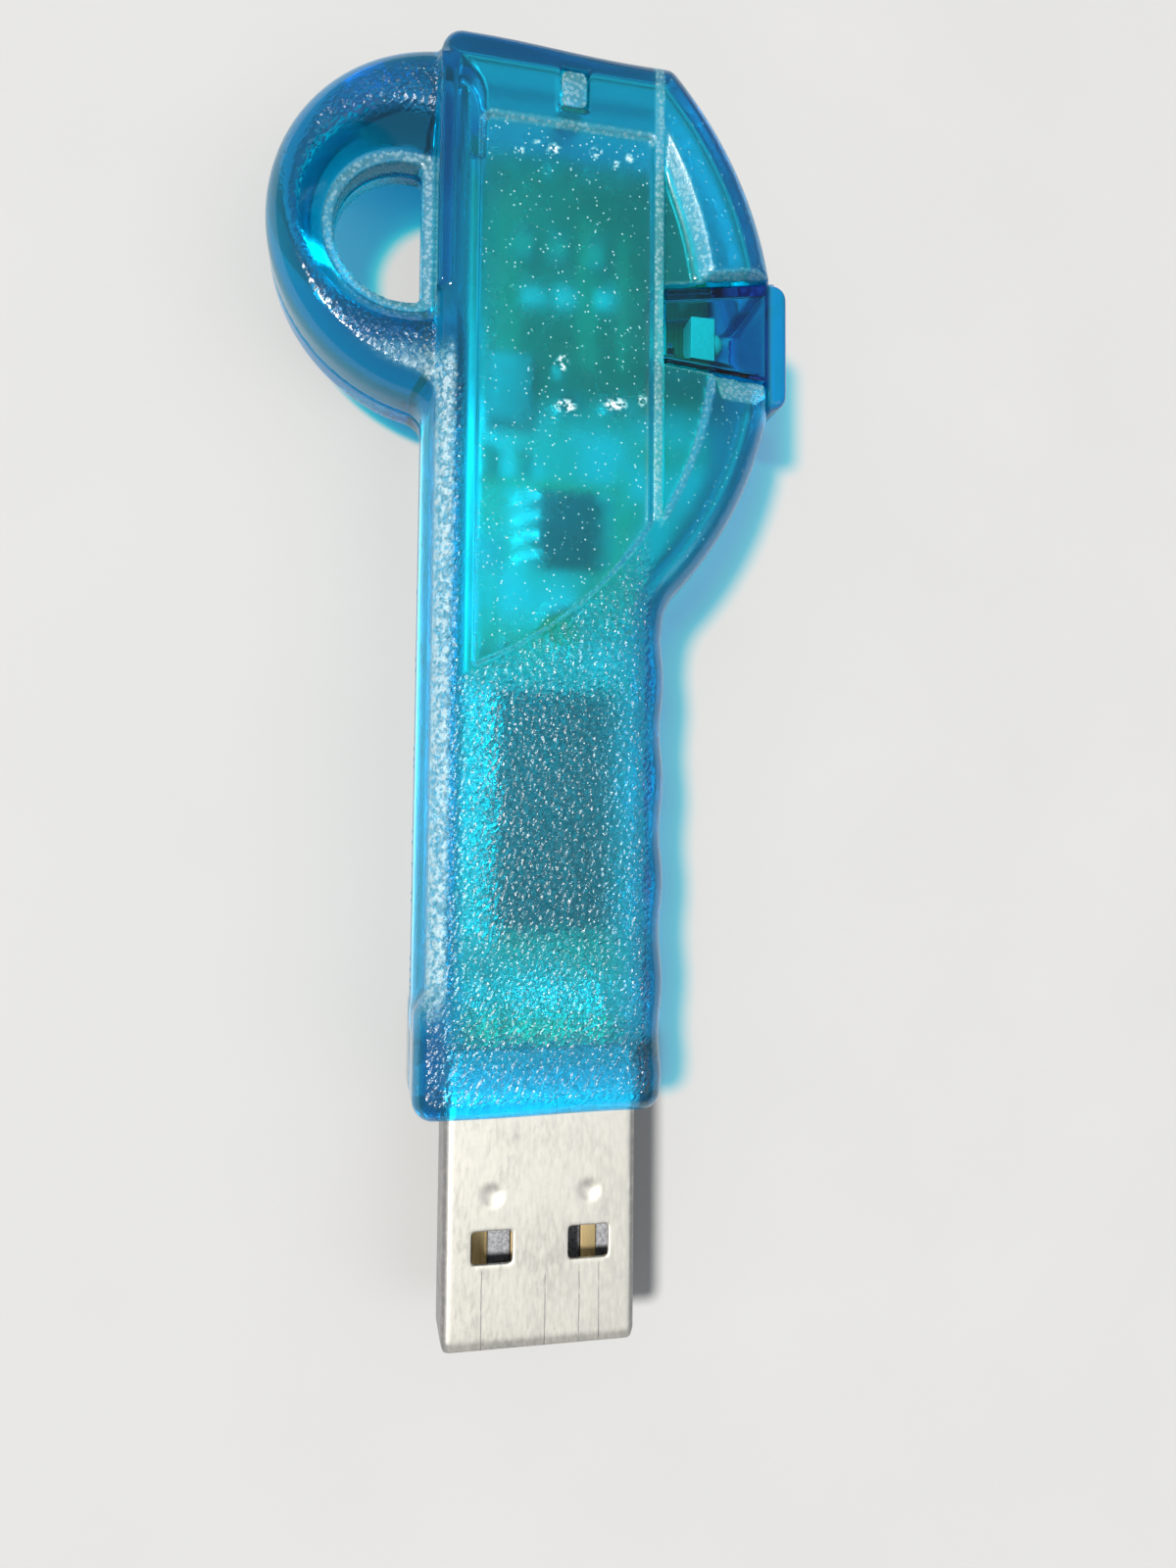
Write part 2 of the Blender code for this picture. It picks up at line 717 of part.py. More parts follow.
def add_lead(bm, side, root, foot, y, width, high):
    """One gull-wing lead: out of the body at high, down, and flat on the board."""
    inner = foot - LEAD_FOOT
    profile = [
        (root, high),
        (inner + LEAD_T, high),
        (inner + LEAD_T, LEAD_T),
        (foot, LEAD_T),
        (foot, 0),
        (inner, 0),
        (inner, high - LEAD_T),
        (root, high - LEAD_T),
    ]
    corners = [bm.verts.new((side * x, y - width / 2, z)) for x, z in profile]
    face = bm.faces.new(corners)
    made = bmesh.ops.extrude_face_region(bm, geom=[face])["geom"]
    moved = [item for item in made if isinstance(item, bmesh.types.BMVert)]
    bmesh.ops.translate(bm, vec=(0, width, 0), verts=moved)


def add_package(bm, size):
    """A moulded body: its sides slope in, above and below the leads' plane."""
    half_a, half_b, height = size[0] / 2, size[1] / 2, size[2]
    middle = PACKAGE_LIFT + height / 2
    for low, high in ((PACKAGE_LIFT, middle), (middle, PACKAGE_LIFT + height)):
        made = add_box(bm, (-half_a, -half_b, low), (half_a, half_b, high))
        draft = [v for v in made if abs(v.co.z - middle) > height / 4]
        for vertex in draft:
            vertex.co.x -= math.copysign(PACKAGE_DRAFT, vertex.co.x)
            vertex.co.y -= math.copysign(PACKAGE_DRAFT, vertex.co.y)
    bmesh.ops.remove_doubles(bm, verts=bm.verts, dist=1e-4)
    inside = [f for f in bm.faces if all(abs(v.co.z - middle) < 1e-4 for v in f.verts)]
    bmesh.ops.delete(bm, geom=inside, context="FACES_ONLY")


def chip(name, centre, size, leads, span, lead_w, face=1, turned=False):
    """A moulded chip with gull-wing leads on two sides.

    size is (across the leads, along them, height), leads is (count a side, pitch)
    and span is from tip to tip. face is -1 under the board. A turned chip has its
    leads at its front and back.
    """
    count, pitch = leads
    middle = PACKAGE_LIFT + size[2] / 2 + LEAD_T / 2
    root = size[0] / 2 - 2 * PACKAGE_DRAFT

    def build_leads(bm):
        for side in (-1, 1):
            for i in range(count):
                y = (i - (count - 1) / 2) * pitch
                add_lead(bm, side, root, span / 2, y, lead_w, middle)

    body = add_object(name, mesh_of(name, lambda bm: add_package(bm, size)), "chip")
    frame = add_object(name + "_leads", mesh_of(name + "_leads", build_leads))
    seat = BOARD_TOP + GAP if face > 0 else BOARD_BOTTOM - GAP
    for obj in (body, frame):
        turn_mesh(obj, turned, face)
        obj.location = (centre[0] * MM, centre[1] * MM, seat * MM)
    join(body, frame)


def turn_mesh(obj, turned, face):
    """A quarter turn about Z if turned, and half a turn about X if face is -1."""
    if turned:
        obj.data.transform(Matrix.Rotation(math.pi / 2, 4, "Z"))
    if face < 0:
        obj.data.transform(Matrix.Rotation(math.pi, 4, "X"))


def make_chips():
    chip("controller_chip", (0.35, 32.8), (7.5, 15.4, 2.2), (12, 1.27), 10.3, 0.42)
    chip("regulator_chip", (1.4, 51.2), (3.9, 4.9, 1.4), (4, 1.27), 6.0, 0.42)
    chip(
        "memory_chip",
        (0.8, 61.0),
        (18.4, 12.0, 1.0),
        (24, 0.5),
        20.0,
        0.22,
        face=-1,
        turned=True,
    )


# Small components


def component(name, centre, size, paint, turned, face):
    """A brick with two end caps that stand proud of it. It lies along X, or turned, Y."""
    length, width, height = size
    seat = BOARD_TOP + GAP if face > 0 else BOARD_BOTTOM - GAP
    half_l, half_w = length / 2, width / 2
    low = (-half_l + CAP_STEP, -half_w + CAP_STEP, CAP_STEP)
    high = (half_l - CAP_STEP, half_w - CAP_STEP, height - CAP_STEP)
    brick = box(name, low, high, paint)
    bound = length * (0.5 - CAP_PART)
    ends = boxes(
        name + "_ends",
        [
            ((-half_l, -half_w, 0), (-bound, half_w, height)),
            ((bound, -half_w, 0), (half_l, half_w, height)),
        ],
    )
    for obj in (brick, ends):
        turn_mesh(obj, turned, face)
        obj.location = (centre[0] * MM, centre[1] * MM, seat * MM)
    join(brick, ends)


SMALL_PARTS = (
    # name, (X, Y), (length, width, height), material, turned, face
    ("tantalum_capacitor", (0.9, 44.2), (3.5, 1.9, 1.6), "tantalum", True, 1),
    ("input_capacitor", (-3.4, 43.2), (2.0, 1.25, 0.9), "ceramic", False, 1),
    ("output_capacitor", (4.2, 45.2), (2.0, 1.25, 0.9), "ceramic", True, 1),
    ("ferrite_bead", (-3.6, 22.9), (1.6, 0.8, 0.8), "resistor", True, 1),
    ("data_resistor_left", (-0.9, 22.9), (1.6, 0.8, 0.5), "resistor", True, 1),
    ("data_resistor_right", (1.1, 22.9), (1.6, 0.8, 0.5), "resistor", True, 1),
    ("pull_up_resistor", (3.5, 22.9), (1.6, 0.8, 0.5), "resistor", True, 1),
    ("load_capacitor_left", (-3.8, 55.6), (1.6, 0.8, 0.8), "ceramic", True, 1),
    ("load_capacitor_right", (-1.6, 55.6), (1.6, 0.8, 0.8), "ceramic", True, 1),
    ("filter_capacitor_left", (-1.6, 70.0), (2.0, 1.25, 0.9), "ceramic", True, 1),
    ("filter_capacitor_middle", (0.7, 70.0), (2.0, 1.25, 0.9), "ceramic", True, 1),
    ("filter_capacitor_right", (3.2, 69.8), (2.0, 1.25, 0.9), "ceramic", True, 1),
    ("led_resistor", (8.3, 63.8), (1.6, 0.8, 0.5), "resistor", True, 1),
    ("bias_resistor_left", (1.6, 60.0), (1.6, 0.8, 0.5), "resistor", False, 1),
    ("bias_resistor_right", (4.6, 60.0), (1.6, 0.8, 0.5), "resistor", False, 1),
    ("memory_capacitor_left", (-3.0, 47.5), (2.0, 1.25, 0.9), "ceramic", False, -1),
    ("memory_capacitor_right", (3.0, 47.5), (2.0, 1.25, 0.9), "ceramic", False, -1),
)


def make_small_parts():
    for part in SMALL_PARTS:
        component(*part)


def make_crystal():
    """A metal-cased quartz crystal on its ceramic base."""
    base = seated_box("crystal", CRYSTAL, CRYSTAL_BASE, "steel")
    join(base, seated_box("crystal_lid", CRYSTAL, CRYSTAL_LID))


def seated_box(name, centre, size, paint=None):
    """A box on the board's upper side."""
    x, y = centre
    half_x, half_y, seat = size[0] / 2, size[1] / 2, BOARD_TOP + GAP
    high = (x + half_x, y + half_y, seat + size[2])
    return box(name, (x - half_x, y - half_y, seat), high, paint)


def make_led():
    """A side-firing LED: a body on the board's edge with a round lens."""
    x, y = LED
    led = seated_box("status_led", (x - LED_SIZE[0] / 2, y), LED_SIZE, "led")
    lens = ball("led_lens", (x, y, BOARD_TOP + GAP + LED_SIZE[2] / 2), LED_LENS_R)
    join(led, lens)
    smooth(led)


def main():
    clear_scene()
    make_materials()
    place_datum()
    make_cutters()
    make_upper_casing()
    make_lower_casing()
    make_window()
    make_plug_shell()
    make_carrier()
    make_contacts()
    make_board()
    make_chips()
    make_small_parts()
    make_crystal()
    make_led()


main()
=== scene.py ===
"""The look of a key-shaped USB flash drive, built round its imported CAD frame.

The casing, the loop and the light window are modelled as signed distance fields in
drive millimetres and meshed on a fine grid, so that every moulded edge is rounded.
Drive millimetres start at the middle of the plug's tip: +X is to the right, +Y runs to
the loop end, and Z = 0 is where the casing halves meet.
"""

import json
import math

import bmesh
import bpy
import numpy as np
from mathutils import Matrix, Vector


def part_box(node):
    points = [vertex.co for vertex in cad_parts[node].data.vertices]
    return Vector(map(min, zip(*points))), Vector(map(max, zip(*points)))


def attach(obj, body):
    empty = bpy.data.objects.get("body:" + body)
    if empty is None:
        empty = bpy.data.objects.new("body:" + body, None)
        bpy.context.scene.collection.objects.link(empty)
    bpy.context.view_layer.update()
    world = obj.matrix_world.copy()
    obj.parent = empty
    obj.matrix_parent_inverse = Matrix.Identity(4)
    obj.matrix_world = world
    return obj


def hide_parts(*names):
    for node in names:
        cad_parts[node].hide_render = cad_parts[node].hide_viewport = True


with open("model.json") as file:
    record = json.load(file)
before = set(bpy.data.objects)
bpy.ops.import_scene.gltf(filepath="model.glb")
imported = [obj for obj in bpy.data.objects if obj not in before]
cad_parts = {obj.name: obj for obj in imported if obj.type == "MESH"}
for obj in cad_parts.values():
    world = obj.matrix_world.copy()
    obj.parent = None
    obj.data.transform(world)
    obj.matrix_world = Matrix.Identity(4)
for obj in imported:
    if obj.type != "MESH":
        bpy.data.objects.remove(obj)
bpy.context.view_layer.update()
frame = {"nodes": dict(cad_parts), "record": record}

MM = 0.001
PLUG_LOW, PLUG_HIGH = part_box("plug_shell")
DATUM = Vector(
    (
        (PLUG_LOW.x + PLUG_HIGH.x) / 2,
        PLUG_LOW.y,
        (PLUG_LOW.z + PLUG_HIGH.z) / 2,
    )
)

# Casing, in drive millimetres
HALF_T = 4.8
WALL = 1.2
ROOF = 1.1
PARTING = 0.04
FRONT_Y = 14.2
TOP_Y = 81.4
SIDE_X = 7.35
FOOT_X = 8.05
FOOT_Y = 21.0
FOOT_RAMP = (0.4, 0.9)
RIM_LEFT = (1.25, 1.35)  # the rounding's width on the face and its height on the side
RIM_RIGHT = (1.8, 2.3)
INNER_RIM = (1.0, 1.5)
CORNER_R = 1.3
WAVE = 0.11
WAVE_PITCH = 6.3
WAVE_TOP_Y = 41.0
WAVE_STEPS = 60
HEAD_CENTRE = (-10.2, 63.8)
HEAD_R = 25.1
HEAD_FILLET = 3.6
RIDGE_LOW = (-7.45, 64.6)  # the low step beside the loop
RIDGE_HIGH = (-3.5, 79.6)
RIDGE_RIM = (0.45, 0.45)
LOOP_CENTRE = (-6.25, 69.5)
LOOP_R = 11.6
LOOP_HALF_T = 3.8
LOOP_RIM = (2.2, 2.4)
WEB_FILLET = 1.3
HOLE_CENTRE = (-9.2, 69.5)
HOLE_R = 4.5
HOLE_FLAT_X = -8.3
LIP_Z = 1.4
LIP_W = 0.75
DISH_SLOPE = 0.72
DISH_BLEND = 0.45
HOLE_BLEND = 0.22
HOOK_LOW = (-12, 70)  # the curved wall inside the top left corner
HOOK_HIGH = (-7.0, 77.2)
HOOK_R = 1.9
HOOK_HALF_W = 0.4
HOOK_END_Y = 73.5
HOOK_Z = 1.2
PANEL_LEFT = -5.0
PANEL_TOP = 76.0
STYLE_CENTRE = (-14.5, 63.8)
PANEL_ARC_R = 24.5
PANEL_DEPTH = 0.42
PANEL_RUN = (-0.02, 0.28)  # where its sloping edge starts and ends
RIB_X = (6.2, 6.82)
RIB_Y = (51.2, 80.5)
RIB_HEIGHT = 0.14
RIB_RUN = (-0.02, 0.14)
CASING_LOW = (-18.4, FRONT_Y - 0.5, -0.3)  # the box that its distance field fills
CASING_HIGH = (15.5, TOP_Y + 0.5, HALF_T + RIB_HEIGHT + 0.4)
PAN_R = 25.0  # the facets beside the rib are sunk inside this arc
PAN_DEPTH = 0.85
PAN_RISE_Y = (62.0, 66.0)  # they are deepest above this height
PAN_RUN = (0.3, 0.95)  # their slope's width below it, and how much more it is above
PAN_LEAST = 0.6  # how much of their depth they have below it
CATCH_X = (0.05, 1.85)
CATCH_Y = (77.0, 79.5)
CATCH_GAP = 0.1
CATCH_HEAD_Z = (2.9, HALF_T - 0.2)
CATCH_ARM_Z = (-4.0, 3.2)
CATCH_ARM_END = 1.05  # its far side, from the near side of the head
CATCH_PALE_Z = 4.4
WINDOW_HALF_T = 3.85
WINDOW_WALL = 0.6
WINDOW_INNER_X = 7.1
WINDOW_INNER_Y = (61.52, 66.54)
WINDOW_SLOPES = (-0.085, 0.16)
FLARE = (0.4, 2.1)  # the pocket's widening per height, all round and below its outer end
CAP_X = (14.1, 15.45)
CAP_Y = (59.2, 67.5)
CAP_HALF_T = 4.2
CAP_CORNERS = (0.35, 0.95)  # on its left side and on its right
BOARD_SLOT_X = 11.5  # the window is slit this far for the board
CLAMP_Y = 18.3  # the casing is solid round the plug as far as this
PLUG_W = 12.0
PLUG_T = 4.5
PLUG_SHEET = 0.3
PLUG_EDGE_R = 0.55
PLUG_STEP = 0.1
PLUG_STEP_Y = (14.1, 14.3)
PLUG_BACK_Y = 18.4
PLUG_TIP = (0.14, 0.7)  # how much the mouth is drawn in, and over what length
SHEET_R = 0.07  # the rounding of the sheet's cut edges
SLOT_X = (1.75, 4.25)
SLOT_Y = (5.16, 7.11)
SLOT_R = 0.22
DIMPLE = (3.0, 9.25)
DIMPLE_R = 0.85
DIMPLE_SINK = 0.15
DIMPLE_FLAT = 0.15  # the share of its radius that is flat
BOARD_TOP = -0.35
BOARD_BOTTOM = -1.35


# Signed distances. Each is negative inside.


def polygon_distance(points, x, y):
    """Signed distance from every (x, y) to a closed polygon."""
    flat = np.stack([x.ravel(), y.ravel()], axis=1)
    nearest = np.full(len(flat), np.inf)
    crossings = np.zeros(len(flat), bool)
    points = np.array(points, float)
    for a, b in zip(points, np.roll(points, -1, axis=0)):
        edge = b - a
        length = edge @ edge
        if length < 1e-12:
            continue
        along = np.clip((flat - a) @ edge / length, 0, 1)
        away = flat - a - along[:, None] * edge
        nearest = np.minimum(nearest, (away**2).sum(axis=1))
        spans = (a[1] > flat[:, 1]) != (b[1] > flat[:, 1])
        if edge[1] != 0:
            meets = a[0] + (flat[:, 1] - a[1]) * edge[0] / edge[1]
            crossings ^= spans & (flat[:, 0] < meets)
    signed = np.sqrt(nearest) * np.where(crossings, -1, 1)
    return signed.reshape(x.shape)


def box_distance(x, y, low, high):
    across = np.maximum(low[0] - x, x - high[0])
    along = np.maximum(low[1] - y, y - high[1])
    outside = np.hypot(np.maximum(across, 0), np.maximum(along, 0))
    return outside + np.minimum(np.maximum(across, along), 0)


def extruded(flat, z, half, rim):
    """An outline's distance, thickened to half on both sides with an elliptical rim."""
    across = np.maximum(flat + rim[0], 0) / rim[0]
    up = np.maximum(np.abs(z) - half + rim[1], 0) / rim[1]
    curved = (np.hypot(across, up) - 1) * np.minimum(*rim)
    inner = np.maximum(flat, np.abs(z) - half)
    return np.where((across > 0) | (up > 0), curved, inner)


def soft_max(a, b, width):
    blend = np.clip(0.5 + (a - b) / (2 * width), 0, 1)
    return b + (a - b) * blend + width * blend * (1 - blend)


def soft_min(a, b, width):
    return -soft_max(-a, -b, width)


def ramp(value, low, high):
    """0 below low, 1 above high, smooth between."""
    share = np.clip((value - low) / (high - low), 0, 1)
    return share * share * (3 - 2 * share)


# Outlines, as in the CAD


ARC_SAG = 0.002


def arc(centre, radius, start, end):
    """Points along an arc between two angles in degrees."""
    sweep = math.radians(end - start)
    steps = max(3, math.ceil(abs(sweep) / (2 * math.acos(1 - ARC_SAG / radius))))
    angles = [math.radians(start) + sweep * i / steps for i in range(steps + 1)]
    return [
        (centre[0] + radius * math.cos(a), centre[1] + radius * math.sin(a))
        for a in angles
    ]


def corner(x, y, radius, start):
    """The rounding of a square corner at (x, y), from an angle in degrees to 90 more."""
    side = math.radians(start)
    across = math.radians(start + 90)
    centre = (
        x - radius * (math.cos(side) + math.cos(across)),
        y - radius * (math.sin(side) + math.sin(across)),
    )
    return arc(centre, radius, start, start + 90)


def body_outline(detailed=True):
    """The casing without its loop, with or without its foot and its wavy right side."""
    right, left = SIDE_X, -SIDE_X
    foot_left = -FOOT_X if detailed else left
    reach = right + HEAD_FILLET - HEAD_CENTRE[0]
    drop = math.sqrt((HEAD_R + HEAD_FILLET) ** 2 - reach**2)
    fillet_y = HEAD_CENTRE[1] - drop
    fillet_turn = math.degrees(math.atan2(drop, reach))
    rise = TOP_Y - CORNER_R - HEAD_CENTRE[1]
    across = math.sqrt((HEAD_R - CORNER_R) ** 2 - rise**2)
    top_turn = math.degrees(math.atan2(rise, across))
    points = corner(foot_left, FRONT_Y, CORNER_R, 180)
    points += corner(right, FRONT_Y, CORNER_R, 270)
    if detailed:
        first, last = FRONT_Y + 2.3, fillet_y - 0.8
        for i in range(WAVE_STEPS + 1):
            y = first + (last - first) * i / WAVE_STEPS
            turn = 2 * math.pi * (y - WAVE_TOP_Y) / WAVE_PITCH
            points.append((right + WAVE * math.cos(turn), y))
    centre = (right + HEAD_FILLET, fillet_y)
    points += arc(centre, HEAD_FILLET, 180, 180 - fillet_turn)
    points += arc(HEAD_CENTRE, HEAD_R, -fillet_turn, top_turn)[1:]
    centre = (HEAD_CENTRE[0] + across, TOP_Y - CORNER_R)
    points += arc(centre, CORNER_R, top_turn, 90)[1:]
    points += corner(left, TOP_Y, CORNER_R, 90)
    if detailed:
        points += [(left, FOOT_Y + FOOT_RAMP[1]), (foot_left, FOOT_Y - FOOT_RAMP[0])]
    return points


def web_outline():
    """The key-ring loop and the fillet that joins it to the shaft."""
    x, y = LOOP_CENTRE
    reach = x + FOOT_X + WEB_FILLET
    drop = math.sqrt((LOOP_R + WEB_FILLET) ** 2 - reach**2)
    turn = math.degrees(math.atan2(drop, reach))
    points = arc(LOOP_CENTRE, LOOP_R, 90, 180 + turn)
    points += arc((-FOOT_X - WEB_FILLET, y - drop), WEB_FILLET, turn, 0)
    points += [(-FOOT_X, FOOT_Y - 1.5), (0, FOOT_Y - 1.5), (0, TOP_Y - 2)]
    return points


def panel_outline():
    """The sunk label panel."""
    right = RIB_X[0]
    turns = [
        -math.degrees(math.acos((x - STYLE_CENTRE[0]) / PANEL_ARC_R))
        for x in (PANEL_LEFT, right)
    ]
    points = arc(STYLE_CENTRE, PANEL_ARC_R, *turns)
    points += corner(right, PANEL_TOP, 0.3, 0)
    points += corner(PANEL_LEFT, PANEL_TOP, 1.0, 90)
    return points


def wedge_outline(left, right, grow=0.0):
    """The light window's sloping sides between two places along X."""
    low, high = (
        [y + slope * (x - WINDOW_INNER_X) for x in (left - grow, right + grow)]
        for y, slope in zip(WINDOW_INNER_Y, WINDOW_SLOPES)
    )
    return [
        (left - grow, low[0] - grow),
        (right + grow, low[1] - grow),
        (right + grow, high[1] + grow),
        (left - grow, high[0] + grow),
    ]


# Meshing a distance field


def grid(low, high, step):
    """The nodes' places along each axis of a box."""
    sizes = [max(2, int(math.ceil((b - a) / step)) + 1) for a, b in zip(low, high)]
    return [a + step * np.arange(n) for a, n in zip(low, sizes)]


def spread(axes):
    """Coordinates of a grid's nodes: x and y over its plan, and z along its own axis."""
    x, y, z = np.meshgrid(*axes, indexing="ij", sparse=True)
    plan = (len(axes[0]), len(axes[1]), 1)
    return np.broadcast_to(x, plan), np.broadcast_to(y, plan), z


CORNERS = [(i, j, k) for i in (0, 1) for j in (0, 1) for k in (0, 1)]


def surface_net(field, axes):
    """One vertex in each cell that the surface crosses, joined into quads."""
    step = axes[0][1] - axes[0][0]
    inside = field < 0
    shape = tuple(n - 1 for n in field.shape)
    count = np.zeros(shape, np.int8)
    for i, j, k in CORNERS:
        count += inside[i : i + shape[0], j : j + shape[1], k : k + shape[2]]
    cells = np.argwhere((count > 0) & (count < 8))
    index = np.full(shape, -1, np.int64)
    index[tuple(cells.T)] = np.arange(len(cells))
    value = {c: field[tuple((cells + c).T)] for c in CORNERS}
    total = np.zeros((len(cells), 3))
    crossed = np.zeros(len(cells))
    for a in CORNERS:
        for axis in range(3):
            if a[axis]:
                continue
            b = tuple(1 if n == axis else a[n] for n in range(3))
            meets = (value[a] < 0) != (value[b] < 0)
            share = value[a][meets] / (value[a][meets] - value[b][meets])
            place = np.tile(np.array(a, float), (meets.sum(), 1))
            place[:, axis] = share
            total[meets] += place
            crossed[meets] += 1
    points = (cells + total / crossed[:, None]) * step
    points += np.array([axis[0] for axis in axes])
    quads = []
    for axis in range(3):
        across, along = (axis + 1) % 3, (axis + 2) % 3
        here = [slice(1, -1)] * 3
        here[axis] = slice(0, -1)
        ahead = list(here)
        ahead[axis] = slice(1, None)
        first, second = inside[tuple(here)], inside[tuple(ahead)]
        for leaves, turn in ((first & ~second, False), (~first & second, True)):
            place = np.argwhere(leaves)
            offset = np.ones(3, int)
            offset[axis] = 0
            place = place + offset
            ring = []
            for du, dv in ((0, 0), (1, 0), (1, 1), (0, 1)):
                at = place.copy()
                at[:, across] -= 1 - du
                at[:, along] -= 1 - dv
                ring.append(index[tuple(at.T)])
            quad = np.stack(ring, axis=1)
            quads.append(quad[:, ::-1] if turn else quad)
    return points, np.concatenate(quads)


def add_piece(name, points, faces, paint, replaced=()):
    """A piece from points in drive millimetres."""
    mesh = bpy.data.meshes.new(name)
    placed = np.array(points, float) * MM + np.array(DATUM)
    mesh.from_pydata(placed.tolist(), [], [list(map(int, f)) for f in faces])
    mesh.validate()
    mesh.shade_smooth()
    mesh.materials.append(PAINT[paint])
    obj = bpy.data.objects.new(name, mesh)
    bpy.context.scene.collection.objects.link(obj)
    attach(obj, "root")
    if replaced:
        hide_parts(*replaced)
    return obj


def set_mask(obj, name, values):
    attribute = obj.data.attributes.new(name, "FLOAT", "POINT")
    attribute.data.foreach_set("value", np.asarray(values, np.float32))


# Casing


def pocket_distances(x, y):
    """Distances to the light window's pocket, from its sloping sides and its inner end."""
    from_inner = x - WINDOW_INNER_X
    low = WINDOW_INNER_Y[0] + WINDOW_SLOPES[0] * from_inner - y
    high = y - WINDOW_INNER_Y[1] - WINDOW_SLOPES[1] * from_inner
    low /= math.hypot(1, WINDOW_SLOPES[0])
    high /= math.hypot(1, WINDOW_SLOPES[1])
    return np.maximum(low, high) - 0.1, WINDOW_INNER_X - 0.1 - x


def flare(x, y):
    """How much the window's pocket widens for each millimetre above it."""
    low_end = ramp(x, 10.2, 10.8) * ramp(-y, -64, -63)
    return FLARE[0] + (FLARE[1] - FLARE[0]) * low_end


def face_height(x, y):
    """Height of the upper half's face over the plan, with its panel, rib and facets."""
    height = np.full(x.shape, HALF_T)
    panel = polygon_distance(panel_outline(), x, y)
    height -= PANEL_DEPTH * ramp(-panel, *PANEL_RUN)
    radius = np.hypot(x - STYLE_CENTRE[0], y - STYLE_CENTRE[1])
    above = ramp(y, *PAN_RISE_Y)
    slope = PAN_RUN[0] + PAN_RUN[1] * above
    inside = np.clip((PAN_R - radius) / slope, 0, 1)
    beside = np.clip((x - RIB_X[1]) / 0.2, 0, 1)
    depth = PAN_DEPTH * (PAN_LEAST + (1 - PAN_LEAST) * above)
    height -= depth * np.minimum(inside, beside)
    rib = box_distance(x, y, (RIB_X[0], RIB_Y[0]), (RIB_X[1], RIB_Y[1]))
    rib_top = HALF_T + RIB_HEIGHT * ramp(-rib, *RIB_RUN)
    return np.where(rib < 0.06, np.maximum(height, rib_top), height)


def casing_field(x, y, z, upper):
    """Distance field of one half, on broadcast axes. z is turned up for the lower half."""
    plan_x, plan_y = x[:, :, 0], y[:, :, 0]

    def lifted(values):
        return values[:, :, None]

    outline = polygon_distance(body_outline(), plan_x, plan_y)
    rightward = lifted(ramp(plan_x, -5, 5))
    rim = [a + (b - a) * rightward for a, b in zip(RIM_LEFT, RIM_RIGHT)]
    body = extruded(lifted(outline), z, HALF_T, rim)
    ridge_flat = box_distance(plan_x, plan_y, RIDGE_LOW, RIDGE_HIGH)
    ridge = extruded(lifted(ridge_flat), z, HALF_T - 0.05, RIDGE_RIM)
    body = soft_min(body, ridge, 0.15)
    web = polygon_distance(web_outline(), plan_x, plan_y)
    loop = extruded(lifted(web), z, LOOP_HALF_T, LOOP_RIM)
    from_hole = np.hypot(plan_x - HOLE_CENTRE[0], plan_y - HOLE_CENTRE[1])
    hole = soft_max(from_hole - HOLE_R, plan_x - HOLE_FLAT_X, 0.5)
    dish_z = LIP_Z + np.maximum(hole - LIP_W, 0) / DISH_SLOPE
    dish = (z - lifted(dish_z)) * 0.6
    loop = soft_max(loop, dish, DISH_BLEND)
    loop = soft_max(loop, -lifted(hole), HOLE_BLEND)
    solid = soft_min(body, loop, 0.35)
    solid = soft_max(solid, -lifted(hole), HOLE_BLEND)

    cavity_flat = polygon_distance(body_outline(detailed=False), plan_x, plan_y) + WALL
    roof = HALF_T - ROOF
    if upper:
        height = face_height(plan_x, plan_y)
        sunk = HALF_T - np.minimum(height, HALF_T)
        ceiling = roof - np.maximum(sunk - PANEL_DEPTH, 0)
        solid = soft_max(solid, (z - lifted(height)) * 0.8, 0.12)
    else:
        ceiling = np.full(plan_x.shape, roof)
    inner = extruded(lifted(cavity_flat), z + (roof - lifted(ceiling)), roof, INNER_RIM)
    inner = np.where(z < 0, lifted(cavity_flat), inner)
    inner = soft_max(inner, -lifted(plan_y - CLAMP_Y), 0.3)
    if upper:
        hook = box_distance(plan_x, plan_y, HOOK_LOW, HOOK_HIGH) - HOOK_R
        hook = np.maximum(np.abs(hook) - HOOK_HALF_W, HOOK_END_Y - plan_y)
        inner = soft_max(inner, -np.maximum(lifted(hook), HOOK_Z - z), 0.2)
    solid = soft_max(solid, -inner, 0.12)

    across, left = pocket_distances(plan_x, plan_y)
    above = np.maximum(z - WINDOW_HALF_T, 0)
    opening = lifted(across) - above * lifted(flare(plan_x, plan_y))
    solid = soft_max(solid, -np.maximum(opening, lifted(left)), 0.12)
    cap = box_distance(plan_x, plan_y, (CAP_X[0] - 0.1, CAP_Y[0] - 0.1), (20, CAP_Y[1] + 0.1))
    solid = soft_max(solid, -lifted(cap), 0.12)
    plug = np.maximum(np.abs(x) - PLUG_W / 2 - 0.05, np.abs(z) - PLUG_T / 2 - 0.05)
    plug = np.maximum(plug, y - FRONT_Y - 3)
    solid = soft_max(solid, -plug, 0.08)
    if upper:
        slot = box_distance(
            plan_x, plan_y, (CATCH_X[0], CATCH_Y[0]), (CATCH_X[1], CATCH_Y[1])
        )
        solid = soft_max(solid, -lifted(slot), 0.1)
    return np.maximum(solid, PARTING - z)


